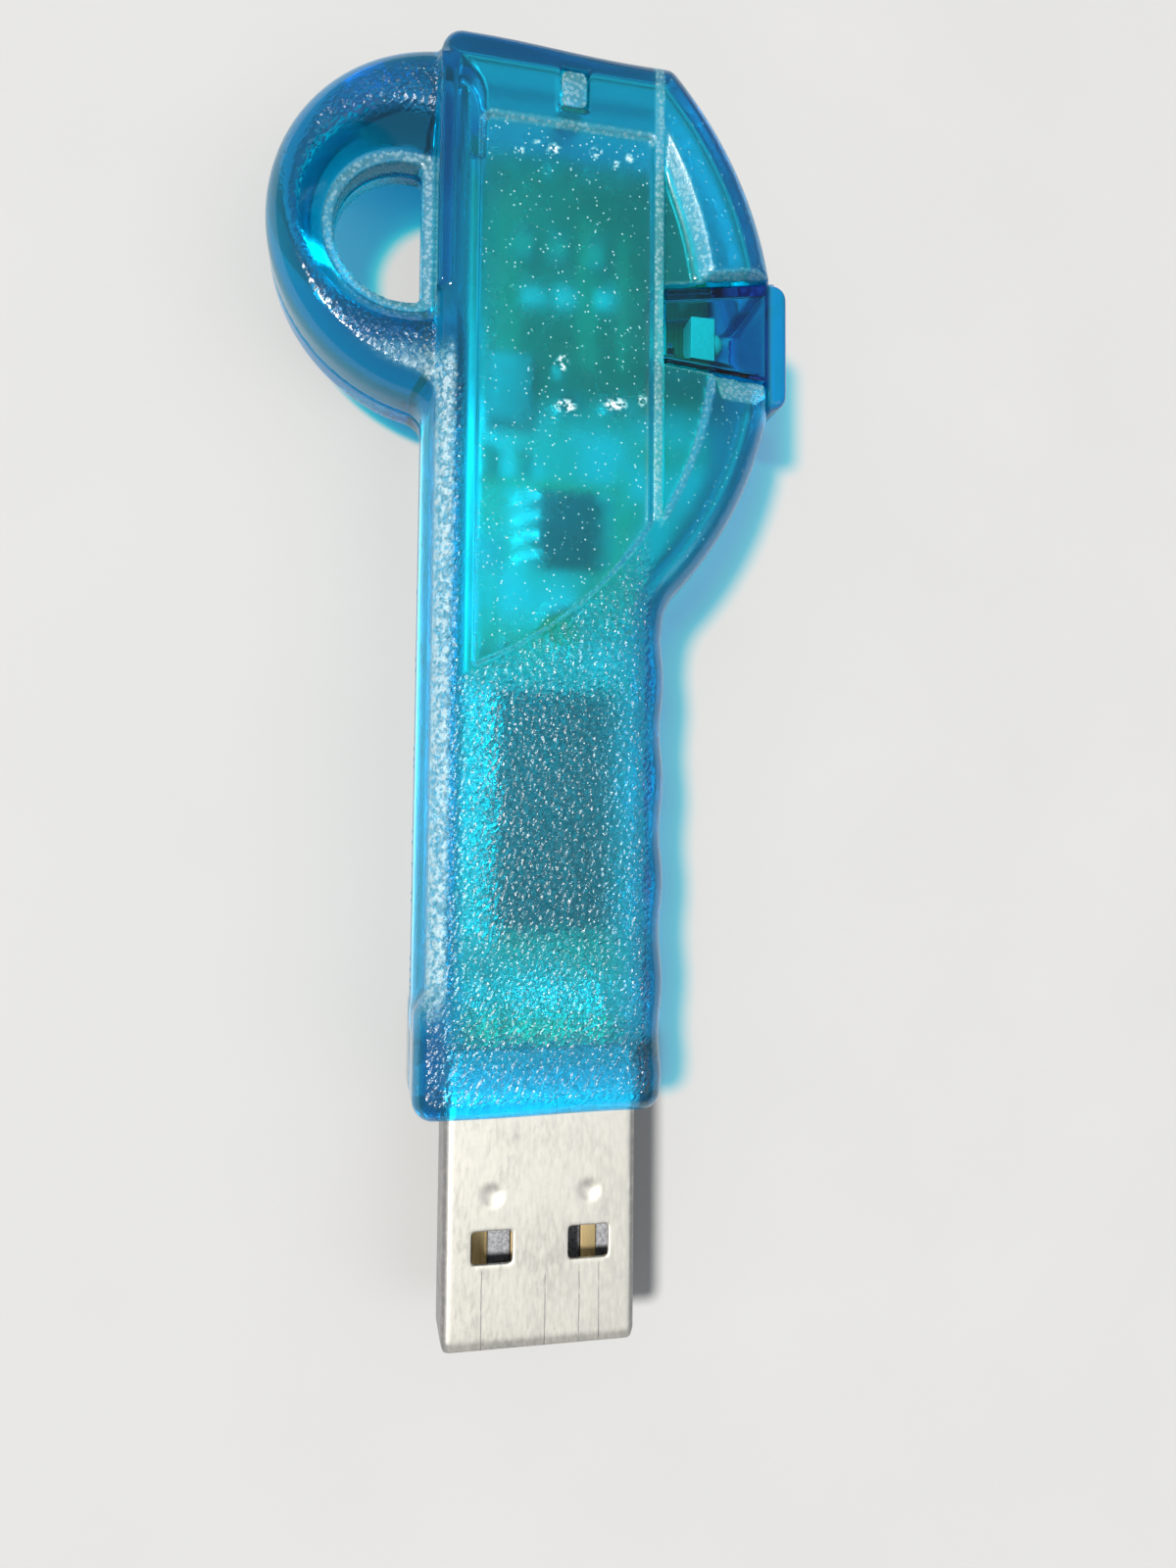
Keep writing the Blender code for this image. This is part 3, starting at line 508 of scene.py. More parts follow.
# Painted glints: the panel face gets white marks over the solder drops below, shifted along the
# line of sight.
SIGHT = (0.5, 1.3)  # how far the line of sight to the board shifts at the face
SOLDER_DROPS = (  # place, half-width and half-length
    (1.1, 59.2, 0.75, 0.4),
    (4.3, 59.6, 0.8, 0.42),
    (6.0, 60.0, 0.4, 0.35),
    (0.9, 61.9, 0.35, 0.6),
    (0.2, 75.6, 0.45, 0.35),
    (2.95, 75.8, 0.42, 0.35),
    (5.1, 75.7, 0.3, 0.25),
    (4.2, 75.2, 0.25, 0.22),
    (-2.0, 75.2, 0.28, 0.25),
    (-0.9, 75.9, 0.22, 0.2),
)


# The fourth mask is painted glints, the second a frosted finish with a painted sparkle strip, and
# the last painted light and shade on the side walls.
MASKS = ("pebble", "frost_and_sparkle", "haze", "painted_glint", "satin", "side")


def casing_masks(points, upper):
    """How strong each kind of finish is at each point of a casing half, and where glints, a sparkle
    strip and side-wall light and shade are painted.
    """
    x, y, z = points.T
    z = z if upper else -z
    outer = z > 0.3
    arc_r = np.hypot(x - STYLE_CENTRE[0], y - STYLE_CENTRE[1])
    shaft = ramp(-x, -6.6, -5.6) * ramp(x, -7.45, -7.1) * ramp(y, 14.9, 15.5)
    shaft *= ramp(arc_r, PANEL_ARC_R - 0.1, PANEL_ARC_R + 0.4) * ramp(-y, -66, -52)
    left = ramp(-x, 5.5, 6.1) * ramp(x, -7.5, -7.1)
    left *= ramp(-y, -62.5, -58) * ramp(y, 14.9, 15.5)
    web = polygon_distance(web_outline(), x, y)
    hole = np.hypot(x - HOLE_CENTRE[0], y - HOLE_CENTRE[1]) - HOLE_R
    crest = ramp(-web, 1.3, 1.9) * ramp(hole, 1.9, 2.4) * ramp(-x, 7.2, 7.6)
    crest *= ramp(z, 2.0, 2.6)
    body = polygon_distance(body_outline(), x, y)
    if upper:
        pebble = np.maximum(np.maximum(shaft, left) * ramp(z, 3.0, 3.6), crest)
    else:
        pebble = np.maximum(ramp(-body, 1.2, 1.8) * ramp(z, 4.5, 4.7), crest)
    lip = ramp(-hole, -LIP_W - 0.1, -LIP_W + 0.1) * ramp(-x, 7.5, 7.6) * (z > 0.2)
    frost_and_sparkle = lip * ramp(-web, 1.0, 1.4)
    panel = polygon_distance(panel_outline(), x, y)
    across, left = pocket_distances(x, y)
    widened = (z - WINDOW_HALF_T) * flare(x, y)
    beside = ramp(across, -0.05, 0.05) * ramp(widened - across, -0.12, 0.0)
    beside *= ramp(-left, -0.15, 0.05) * ramp(z, WINDOW_HALF_T - 0.1, WINDOW_HALF_T)
    frost_and_sparkle = np.maximum(frost_and_sparkle, beside)
    if upper:
        rib = box_distance(x, y, (RIB_X[0], RIB_Y[0] - 0.2), (RIB_X[1], TOP_Y))
        frost_and_sparkle = np.maximum(frost_and_sparkle, ramp(-rib, -0.05, 0.05) * ramp(z, 3.5, 4.2))
        slope = ramp(-arc_r, -PAN_R - 0.05, -PAN_R + 0.1) * ramp(arc_r, 24.0, 24.25)
        slope *= ramp(y, 66.0, 67.5) * ramp(x, 6.8, 7.0) * ramp(z, 3.5, 3.8)
        frost_and_sparkle = np.maximum(frost_and_sparkle, 0.75 * slope)
        line = ramp(-np.abs(arc_r - PAN_R + 0.15), -0.25, -0.12)
        line *= ramp(-y, -62, -61) * ramp(x, 6.5, 6.9) * ramp(z, 3.6, 4.0)
        frost_and_sparkle = np.maximum(frost_and_sparkle, 0.8 * line)
        edge = ramp(-np.abs(panel + 0.12), -0.24, -0.1) * ramp(z, 4.1, 4.3)
        top_edge = edge * ramp(y, 75.0, 75.5)
        low_edge = 0.55 * edge * ramp(-y, -52, -50) * ramp(x, -5.2, -4.8)
        side_edge = 0.5 * edge * ramp(-x, 4.6, 4.8) * ramp(y, 71, 74)
        frost_and_sparkle = np.maximum(frost_and_sparkle, np.maximum(top_edge, np.maximum(low_edge, side_edge)))
    frost_and_sparkle *= outer
    pebble *= outer * (1 - frost_and_sparkle)
    # Painted highlight: a whiter frosted strip along the shaft's left rounding, with some painted
    # glint, stands in for the key light's sparkle.
    strip = ramp(-x, 6.15, 6.45) * ramp(y, 19.0, 23.0) * ramp(-y, -62, -59)
    strip *= ramp(z, 3.45, 3.8)
    frost_and_sparkle = np.maximum(frost_and_sparkle, strip)
    haze = upper * ramp(-panel, 0.1, 0.4) * ramp(z, 4.0, 4.2)
    painted_glint = 0.6 * strip
    # Painted glints: white marks on the panel face over each solder drop.
    for drop_x, drop_y, a, b in SOLDER_DROPS:
        away = np.hypot((x - drop_x + SIGHT[0]) / a, (y - drop_y + SIGHT[1]) / b)
        painted_glint = np.maximum(painted_glint, ramp(-away, -1.1, -0.7) * haze)
    wing = ramp(x, 6.9, 7.2) * ramp(z, 3.6, 3.8) * 0.6 * upper
    haze = np.maximum(haze, wing) * (1 - frost_and_sparkle) * (1 - pebble)
    walls = polygon_distance(body_outline(detailed=False), x, y)
    satin = ramp(-walls, WALL - 0.3, WALL - 0.1)
    satin *= ramp(-z, ROOF - HALF_T - 0.2, ROOF - HALF_T)
    # Painted light and shade: the outer side walls are painted a deeper, milkier blue.
    outline = np.minimum(body, web)
    side = ramp(outline, -2.0, -0.2) * ramp(-np.abs(z), -4.7, -4.0)
    return dict(zip(MASKS, (pebble, frost_and_sparkle, haze, painted_glint, satin, side)))


def make_casing_half(name, node, upper, step):
    axes = grid(CASING_LOW, CASING_HIGH, step)
    points, quads = surface_net(casing_field(*spread(axes), upper), axes)
    if not upper:
        points[:, 2] = np.maximum(-points[:, 2], -HALF_T)
        quads = quads[:, ::-1]
    obj = add_piece(name, points, quads, "casing", (node,))
    for mask, values in casing_masks(points, upper).items():
        set_mask(obj, mask, values)


# Materials


class Shader:
    """A node material with a Principled shader, and short ways to add nodes."""

    def __init__(self, name, **sockets):
        self.material = bpy.data.materials.new(name)
        self.material.use_nodes = True
        self.tree = self.material.node_tree
        self.main = self.tree.nodes["Principled BSDF"]
        self.output = self.tree.nodes["Material Output"]
        self.place = self.node("ShaderNodeTexCoord").outputs["Object"]
        for socket, value in sockets.items():
            self.set(self.main, socket.replace("_", " "), value)

    def node(self, kind, **settings):
        made = self.tree.nodes.new(kind)
        for name, value in settings.items():
            setattr(made, name, value)
        return made

    def set(self, node, socket, value):
        entry = node.inputs[socket]
        if isinstance(value, bpy.types.NodeSocket):
            self.tree.links.new(value, entry)
        elif isinstance(value, tuple) and len(value) == 3 and entry.type == "RGBA":
            entry.default_value = (*value, 1.0)
        else:
            entry.default_value = value

    def noise(self, scale, detail=2.0, roughness=0.5, at=None):
        made = self.node("ShaderNodeTexNoise")
        self.set(made, "Vector", at or self.place)
        self.set(made, "Scale", scale)
        self.set(made, "Detail", detail)
        self.set(made, "Roughness", roughness)
        return made.outputs["Fac"]

    def cells(self, scale, smoothness, at=None):
        made = self.node("ShaderNodeTexVoronoi", feature="SMOOTH_F1")
        self.set(made, "Vector", at or self.place)
        self.set(made, "Scale", scale)
        self.set(made, "Smoothness", smoothness)
        return made.outputs["Distance"]

    def apart(self):
        """The object's own X, Y and Z, each on a socket."""
        made = self.node("ShaderNodeSeparateXYZ")
        self.set(made, "Vector", self.place)
        return made.outputs

    def stretched(self, scale):
        made = self.node("ShaderNodeMapping")
        self.set(made, "Vector", self.place)
        self.set(made, "Scale", scale)
        return made.outputs["Vector"]

    def math(self, operation, a, b=0.0, clamp=False):
        made = self.node("ShaderNodeMath", operation=operation, use_clamp=clamp)
        self.set(made, 0, a)
        self.set(made, 1, b)
        return made.outputs[0]

    def remap(self, value, low, high, to_low=0.0, to_high=1.0):
        made = self.node("ShaderNodeMapRange")
        for socket, entry in zip(range(5), (value, low, high, to_low, to_high)):
            self.set(made, socket, entry)
        return made.outputs[0]

    def blend(self, factor, a, b):
        made = self.node("ShaderNodeMix", data_type="RGBA")
        self.set(made, 0, factor)
        self.set(made, 6, a)
        self.set(made, 7, b)
        return made.outputs[2]

    def mask(self, name):
        return self.node("ShaderNodeAttribute", attribute_name=name).outputs["Fac"]

    def bump(self, height, distance, strength, under=None):
        made = self.node("ShaderNodeBump")
        self.set(made, "Strength", strength)
        self.set(made, "Distance", distance)
        self.set(made, "Height", height)
        if under is not None:
            self.set(made, "Normal", under)
        return made.outputs["Normal"]

    def use(self, socket, value):
        self.set(self.main, socket, value)

    def absorb(self, colour, density):
        volume = self.node("ShaderNodeVolumeAbsorption")
        self.set(volume, "Color", colour)
        self.set(volume, "Density", density)
        self.tree.links.new(volume.outputs[0], self.output.inputs["Volume"])

    def pass_lamps(self, tint):
        """Rays to the lamps go straight through, so that what is inside is lit."""
        path = self.node("ShaderNodeLightPath")
        clear = self.node("ShaderNodeBsdfTransparent")
        self.set(clear, "Color", tint)
        mixed = self.node("ShaderNodeMixShader")
        self.set(mixed, 0, path.outputs["Is Shadow Ray"])
        self.tree.links.new(self.main.outputs[0], mixed.inputs[1])
        self.tree.links.new(clear.outputs[0], mixed.inputs[2])
        self.tree.links.new(mixed.outputs[0], self.output.inputs["Surface"])


PLASTIC_IOR = 1.54
LAMP_TINT = (0.45, 0.95, 1.0)  # of lamplight that has gone through the plastic
CASING_CLEAR = (0.0, 0.912, 0.958)
CASING_DENSITY = 1600.0
CASING_SCATTER = 0.03
CASING_TONE = (0.06, 0.9, 1.0)
# Painted light and shade: the side walls' deeper blue.
PAINTED_SIDE_TONE = (0.0, 0.74, 1.0)
# The tone of the frosted finish, also used for the painted sparkle strip.
FROST_AND_SPARKLE_TONE = (0.5, 0.82, 0.88)
# The white of painted glints and painted sparkle.
PAINTED_GLINT_TONE = (0.95, 1.0, 1.0)
WARP_SCALE = 1700.0
WARP_REACH = (0.0005, 0.0005, 0.0)
GRAIN_TURN = 50
GRAIN_STRETCH = (1.35, 0.85, 1.0)


def slanted(s):
    """Warped coordinates turned to the direction of the moulded grain."""
    drift = s.node("ShaderNodeTexNoise")
    s.set(drift, "Vector", s.place)
    s.set(drift, "Scale", WARP_SCALE)
    warp = s.node("ShaderNodeVectorMath", operation="MULTIPLY_ADD")
    for socket, value in enumerate((drift.outputs["Color"], WARP_REACH, s.place)):
        s.set(warp, socket, value)
    turned = s.node("ShaderNodeMapping", vector_type="TEXTURE")
    s.set(turned, "Vector", warp.outputs[0])
    s.set(turned, "Rotation", (0.0, 0.0, math.radians(GRAIN_TURN)))
    s.set(turned, "Scale", GRAIN_STRETCH)
    return turned.outputs[0]


def casing_material():
    s = Shader("casing_polycarbonate", IOR=PLASTIC_IOR)
    pebble, frost_and_sparkle, haze, painted_glint, satin, side = (s.mask(name) for name in MASKS)
    patchy = s.remap(s.cells(3600, 0.2), 0.15, 0.55, 1.1, 0.45)
    frost_and_sparkle = s.math("MULTIPLY", frost_and_sparkle, patchy, True)
    # Painted sparkle and glints: white, less clear specks on the panel and marks over the solder
    # drops, whatever the light.
    painted_sparkle_dots = s.remap(s.cells(2900, 0.05), 0.12, 0.22, 0.7, 0.0)
    painted_sparkle_dots = s.math("MULTIPLY", painted_sparkle_dots, s.remap(s.noise(2200, 1.0), 0.42, 0.52))
    torn = s.remap(s.noise(2600, 4.0, 0.7), 0.47, 0.54)
    torn = s.math("MULTIPLY", painted_glint, torn)
    painted_sparkle_dots = s.math("MAXIMUM", s.math("MULTIPLY", painted_sparkle_dots, haze), torn)
    milky = s.math("ADD", CASING_SCATTER, s.math("MULTIPLY", frost_and_sparkle, 0.4))
    # Painted light and shade: the side walls are made milkier.
    milky = s.math("ADD", milky, s.math("MULTIPLY", side, 0.12))
    milky = s.math("MAXIMUM", milky, painted_sparkle_dots)
    s.use("Transmission Weight", s.math("SUBTRACT", 1.0, milky))
    cells = s.cells(3100, 0.3, at=slanted(s))
    fine = s.noise(7000, 2.0)
    height = s.math("ADD", cells, s.math("MULTIPLY", fine, 0.4))
    grain = s.bump(height, 0.0001, pebble)
    speck = s.noise(14000, 1.0)
    frosted = s.bump(speck, 0.00004, s.math("MULTIPLY", frost_and_sparkle, 0.9), under=grain)
    waviness = s.bump(s.noise(260, 1.0), 0.00002, 0.5, under=frosted)
    s.use("Normal", waviness)
    smudge = s.remap(s.noise(420, 4.0, 0.6), 0.35, 0.75, 0.03, 0.12)
    rough = s.math("ADD", smudge, s.math("MULTIPLY", pebble, 0.17))
    rough = s.math("ADD", rough, s.math("MULTIPLY", haze, 0.2))
    rough = s.math("ADD", rough, s.math("MULTIPLY", satin, 0.28))
    s.use("Roughness", s.math("ADD", rough, s.math("MULTIPLY", frost_and_sparkle, 0.4)))
    # Painted light and shade: the side walls in a deeper blue.
    tone = s.blend(side, CASING_TONE, PAINTED_SIDE_TONE)
    tone = s.blend(frost_and_sparkle, tone, FROST_AND_SPARKLE_TONE)
    s.use("Base Color", s.blend(painted_sparkle_dots, tone, PAINTED_GLINT_TONE))
    s.use("Specular IOR Level", 0.8)
    s.absorb(CASING_CLEAR, CASING_DENSITY)
    s.pass_lamps(LAMP_TINT)
    return s.material


def window_material():
    s = Shader("window_polycarbonate", IOR=PLASTIC_IOR)
    # Painted light: the cap is milkier and a deeper blue, so that it reads bright.
    cap = s.mask("cap")
    s.use("Transmission Weight", s.remap(cap, 0, 1, 1.0, 0.6))
    s.use("Base Color", s.blend(cap, (0.1, 0.85, 0.97), (0.0, 0.5, 0.95)))
    s.use("Roughness", s.remap(s.noise(900, 3.0), 0.4, 0.8, 0.01, 0.06))
    s.use("Normal", s.bump(s.noise(300, 1.0), 0.00002, 0.4))
    s.absorb((0.0, 0.87, 0.94), 1500.0)
    s.pass_lamps(LAMP_TINT)
    return s.material


def steel_material():
    s = Shader("plug_steel", Metallic=1.0)
    smudges = s.noise(300, 5.0, 0.65)
    blotch = s.noise(1100, 4.0, 0.6)
    brushed = s.noise(1.0, 3.0, 0.6, at=s.stretched((5200, 1300, 5200)))
    tone = s.blend(s.remap(smudges, 0.35, 0.7), (0.9, 0.87, 0.78), (0.79, 0.77, 0.71))
    tone = s.blend(s.remap(blotch, 0.55, 0.75, 0, 0.4), tone, (0.66, 0.65, 0.62))
    worn = scratches(s)
    tone = s.blend(worn, tone, (0.25, 0.25, 0.26))
    place = s.apart()
    # Painted shade: the steel under the casing is painted darker.
    shade_under_casing = s.remap(place["Y"], DATUM.y + 15.3 * MM, DATUM.y + 16.0 * MM)
    tone = s.blend(shade_under_casing, tone, (0.42, 0.44, 0.46))
    aside = s.math("ABSOLUTE", s.math("SUBTRACT", place["X"], DATUM.x))
    # The bare steel is darker along both rounded long edges.
    darker_edges = s.remap(aside, 5.5 * MM, 5.85 * MM, 0, 0.85)
    broken = s.remap(s.noise(1300, 4.0, 0.7), 0.3, 0.5, 0.6, 1.0)
    darker_edges = s.math("MULTIPLY", darker_edges, broken)
    bare = s.remap(place["Y"], DATUM.y + 13.8 * MM, DATUM.y + 14.2 * MM, 1, 0)
    darker_edges = s.math("MULTIPLY", darker_edges, bare)
    s.use("Base Color", s.blend(darker_edges, tone, (0.3, 0.3, 0.31)))
    rough = s.remap(smudges, 0.3, 0.7, 0.42, 0.58)
    s.use("Roughness", s.math("ADD", rough, s.remap(brushed, 0.3, 0.7, -0.05, 0.08)))
    height = s.math("SUBTRACT", brushed, s.math("MULTIPLY", worn, 3.0))
    uneven = s.bump(blotch, 0.00002, 0.35)
    s.use("Normal", s.bump(height, 0.000005, 0.2, under=uneven))
    return s.material


SCRATCHES = ((-3.6, 4.95), (0.32, 4.5), (2.45, 4.95), (3.7, 4.95))  # X, and Y of the end
SCRATCH_W = 0.045
SCRATCH_FADE = 0.3


def scratches(s):
    """Wear lines along the plug's face, from its windows to its front edge."""
    place = s.apart()
    drift = s.math("MULTIPLY", s.math("SUBTRACT", s.noise(500, 2.0), 0.5), 0.00012)
    x = s.math("ADD", s.math("SUBTRACT", place["X"], DATUM.x), drift)
    y = s.math("SUBTRACT", place["Y"], DATUM.y)
    total = None
    for at, end in SCRATCHES:
        away = s.math("ABSOLUTE", s.math("SUBTRACT", x, at * MM))
        line = s.remap(away, 0.0, SCRATCH_W * MM, 1.0, 0.0)
        fade = s.remap(y, (end - SCRATCH_FADE) * MM, end * MM, 1.0, 0.0)
        line = s.math("MULTIPLY", line, fade)
        total = line if total is None else s.math("MAXIMUM", total, line)
    above = s.remap(place["Z"], DATUM.z, DATUM.z + MM)
    patchy = s.remap(s.noise(1500, 3.0), 0.35, 0.5, 0.25, 1.0)
    return s.math("MULTIPLY", s.math("MULTIPLY", total, above), patchy)


def gold_material():
    s = Shader("contact_gold", Metallic=0.75)
    wear = s.noise(1.0, 3.0, 0.6, at=s.stretched((6000, 500, 6000)))
    wear_share = s.remap(wear, 0.3, 0.75)
    s.use("Base Color", s.blend(wear_share, (1.0, 0.82, 0.45), (0.85, 0.6, 0.28)))
    s.use("Roughness", s.remap(wear, 0.3, 0.7, 0.4, 0.55))
    s.use("Normal", s.bump(wear, 0.000006, 0.4))
    return s.material


def carrier_material():
    s = Shader("carrier_plastic")
    grain = s.noise(5200, 3.0, 0.7)
    grain_share = s.remap(grain, 0.35, 0.7)
    s.use("Base Color", s.blend(grain_share, (0.25, 0.26, 0.28), (0.62, 0.63, 0.66)))
    s.use("Roughness", s.remap(grain, 0.3, 0.7, 0.45, 0.7))
    s.use("Normal", s.bump(grain, 0.00003, 0.6))
    return s.material


def board_material():
    s = Shader("board_solder_mask", Coat_Weight=0.4, Coat_Roughness=0.2)
    weave = s.node("ShaderNodeTexWave", wave_type="BANDS")
    s.set(weave, "Vector", s.place)
    s.set(weave, "Scale", 900.0)
    cloud = s.noise(700, 4.0)
    # Painted light and shade: the board is painted pale toward the plug and deep green toward the
    # head, for how brightly each part is lit through the casing.
    deep = s.blend(s.remap(cloud, 0.3, 0.7), (0.01, 0.09, 0.04), (0.015, 0.16, 0.085))
    patches = s.remap(s.noise(260, 2.0, 0.4), 0.4, 0.6)
    pale = s.blend(patches, (0.1, 0.5, 0.32), (0.3, 0.85, 0.85))
    edge = s.math("ADD", s.apart()["Y"], s.math("MULTIPLY", cloud, 0.0015))
    headward = s.remap(edge, DATUM.y + 58.5 * MM, DATUM.y + 61.5 * MM)
    tone = s.blend(headward, pale, deep)
    threads = s.remap(weave.outputs["Fac"], 0, 1, 0, 0.12)
    s.use("Base Color", s.blend(threads, tone, (0.1, 0.5, 0.3)))
    s.use("Roughness", s.remap(cloud, 0.3, 0.7, 0.3, 0.45))
    s.use("Normal", s.bump(weave.outputs["Fac"], 0.000006, 0.3))
    return s.material


FINISH_DEPTH = 0.00001


def plain_material(name, low, high, scale, rough, metallic=0.0):
    """A moulded, glazed or tinned finish, mottled from a dark to a light colour."""
    s = Shader(name, Metallic=metallic)
    grain = s.noise(scale, 4.0, 0.6)
    s.use("Base Color", s.blend(s.remap(grain, 0.3, 0.7), low, high))
    s.use("Roughness", s.remap(grain, 0.3, 0.7, *rough))
    s.use("Normal", s.bump(grain, FINISH_DEPTH, 0.5))
    return s.material


FINISHES = {
    "trace": ("board_trace", (0.09, 0.5, 0.22), (0.16, 0.6, 0.3), 2500, (0.3, 0.4)),
    "print": ("board_print", (0.8, 0.82, 0.78), (0.9, 0.9, 0.88), 4000, (0.5, 0.6)),
    "tin": ("solder_tin", (0.82, 0.82, 0.8), (0.95, 0.95, 0.93), 3000, (0.12, 0.25), 1.0),
    "epoxy": ("chip_epoxy", (0.02, 0.03, 0.04), (0.045, 0.06, 0.075), 5000, (0.5, 0.65)),
    "olive": ("tantalum_epoxy", (0.42, 0.24, 0.05), (0.56, 0.36, 0.1), 4200, (0.4, 0.55)),
    "ceramic": ("capacitor_ceramic", (0.5, 0.36, 0.22), (0.62, 0.48, 0.32), 4200, (0.4, 0.5)),
    "glaze": ("resistor_glaze", (0.012, 0.012, 0.014), (0.04, 0.04, 0.045), 4200, (0.2, 0.3)),
    "can": ("crystal_can_nickel", (0.2, 0.26, 0.26), (0.3, 0.36, 0.35), 3000, (0.5, 0.6), 0.6),
    "flux": ("soldering_flux", (0.14, 0.09, 0.05), (0.25, 0.18, 0.1), 2600, (0.4, 0.6)),
    "lens": ("led_body", (0.35, 0.85, 0.7), (0.5, 0.95, 0.82), 3000, (0.2, 0.3)),
}
PAINT = {
    "casing": casing_material(),
    "window": window_material(),
    "steel": steel_material(),
    "gold": gold_material(),
    "carrier": carrier_material(),
    "board": board_material(),
}
for paint_name, finish in FINISHES.items():
    PAINT[paint_name] = plain_material(*finish)


# The light window and the catch


def make_window(step):
    """The clear insert: a hollow wedge with a cap on its outer end."""
    low = (WINDOW_INNER_X - 0.4, CAP_Y[0] - 0.4, -CAP_HALF_T - 0.3)
    axes = grid(low, (CAP_X[1] + 0.4, CAP_Y[1] + 0.4, CAP_HALF_T + 0.3), step)
    x, y, z = spread(axes)
    flat_x, flat_y = x[:, :, 0], y[:, :, 0]
    wedge = polygon_distance(wedge_outline(WINDOW_INNER_X, CAP_X[0] + 0.6), flat_x, flat_y)
    solid = extruded(wedge[:, :, None], z, WINDOW_HALF_T, (0.25, 0.25))
    outline = []
    for end_x, end_y, start in ((0, 0, 180), (1, 0, 270), (1, 1, 0), (0, 1, 90)):
        outline += corner(CAP_X[end_x], CAP_Y[end_y], CAP_CORNERS[end_x], start)
    cap = polygon_distance(outline, flat_x, flat_y)
    solid = soft_min(solid, extruded(cap[:, :, None], z, CAP_HALF_T, (0.45, 0.5)), 0.1)
    hollow = wedge_outline(WINDOW_INNER_X - 2, CAP_X[1] - WINDOW_WALL, -WINDOW_WALL)
    hollow = polygon_distance(hollow, flat_x, flat_y)
    inside = WINDOW_HALF_T - WINDOW_WALL
    solid = soft_max(solid, -extruded(hollow[:, :, None], z, inside, (0.3, 0.3)), 0.08)
    slot = np.maximum(z - BOARD_TOP - 0.1, BOARD_BOTTOM - 0.1 - z)
    solid = soft_max(solid, -np.maximum(x - BOARD_SLOT_X, slot), 0.06)
    points, quads = surface_net(solid, axes)
    obj = add_piece("window_insert", points, quads, "window", ("light_window",))
    set_mask(obj, "cap", ramp(points[:, 0] - CAP_X[0], 0.0, 0.3))


def make_catch():
    """The catch's head and arm, which belong to the lower half."""
    bm = bmesh.new()
    x0, x1 = CATCH_X[0] + CATCH_GAP, CATCH_X[1] - CATCH_GAP
    y0, y1 = CATCH_Y[0] + CATCH_GAP, CATCH_Y[1] - CATCH_GAP
    inset = 0.05
    head = (x0, y0, CATCH_HEAD_Z[0]), (x1, y1, CATCH_HEAD_Z[1])
    arm_low = (x0 + inset, y0 + inset, CATCH_ARM_Z[0])
    arm = arm_low, (x1 - inset, y0 + CATCH_ARM_END, CATCH_ARM_Z[1])
    for low, high in (head, arm):
        made = bmesh.ops.create_cube(bm, size=1.0)["verts"]
        bmesh.ops.scale(bm, vec=Vector(high) - Vector(low), verts=made)
        bmesh.ops.translate(bm, vec=(Vector(high) + Vector(low)) / 2, verts=made)
    upright = [e for e in bm.edges if (e.verts[0].co - e.verts[1].co).xy.length < 1e-6]
    bmesh.ops.bevel(bm, geom=upright, offset=0.4, segments=5, profile=0.5, affect="EDGES")
    rims = [e for e in bm.edges if e.calc_face_angle(0) > 1.2]
    bmesh.ops.bevel(bm, geom=rims, offset=0.08, segments=2, profile=0.5, affect="EDGES")
    points = [tuple(v.co) for v in bm.verts]
    faces = [[v.index for v in f.verts] for f in bm.faces]
    bm.free()
    obj = add_piece("catch_latch", points, faces, "casing")
    pale = np.array(points)[:, 2] > CATCH_PALE_Z
    for mask in MASKS:
        set_mask(obj, mask, pale & (mask == "frost_and_sparkle"))


# Pieces that keep the CAD's shape, with rounded edges


def bevelled(name, node, paints, width, segments=2, turn=30):
    """A copy of a CAD node whose sharp edges are rounded."""
    source = frame["nodes"][node]
    bm = bmesh.new()
    bm.from_mesh(source.data)
    bmesh.ops.remove_doubles(bm, verts=bm.verts, dist=1e-7)
    bmesh.ops.dissolve_limit(bm, angle_limit=math.radians(1), verts=bm.verts, edges=bm.edges)
    mesh = bpy.data.meshes.new(name)
    bm.to_mesh(mesh)
    bm.free()
    obj = bpy.data.objects.new(name, mesh)
    bpy.context.scene.collection.objects.link(obj)
    mesh.materials.clear()
    for paint in paints:
        mesh.materials.append(PAINT[paint])
    modifier = obj.modifiers.new("edges", "BEVEL")
    modifier.width = width * MM
    modifier.segments = segments
    modifier.limit_method = "ANGLE"
    modifier.angle_limit = math.radians(turn)
    modifier.harden_normals = True
    mesh.shade_smooth()
    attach(obj, "root")
    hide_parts(node)
    return obj


def paint_ends(obj, node, axis, bound):
    """The second material on faces farther than bound from the node's middle along an axis."""
    low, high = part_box(node)
    middle = (low[axis] + high[axis]) / 2
    for polygon in obj.data.polygons:
        polygon.material_index = int(abs(polygon.center[axis] - middle) > bound)


CHIP_BODIES = {  # the axis across the leads, and the body's width along it
    "controller_chip": (0, 7.5),
    "regulator_chip": (0, 3.9),
    "memory_chip": (1, 18.4),
}
LEAD_GAP = 0.005
SMALL_PARTS = {"tantalum": "olive", "ceramic": "ceramic", "resistor": "glaze"}
END_SHARE = 0.298  # where a small part's tinned ends start, as a share of its length
CONTACTS = ("contact_power", "contact_data_minus", "contact_data_plus", "contact_ground")


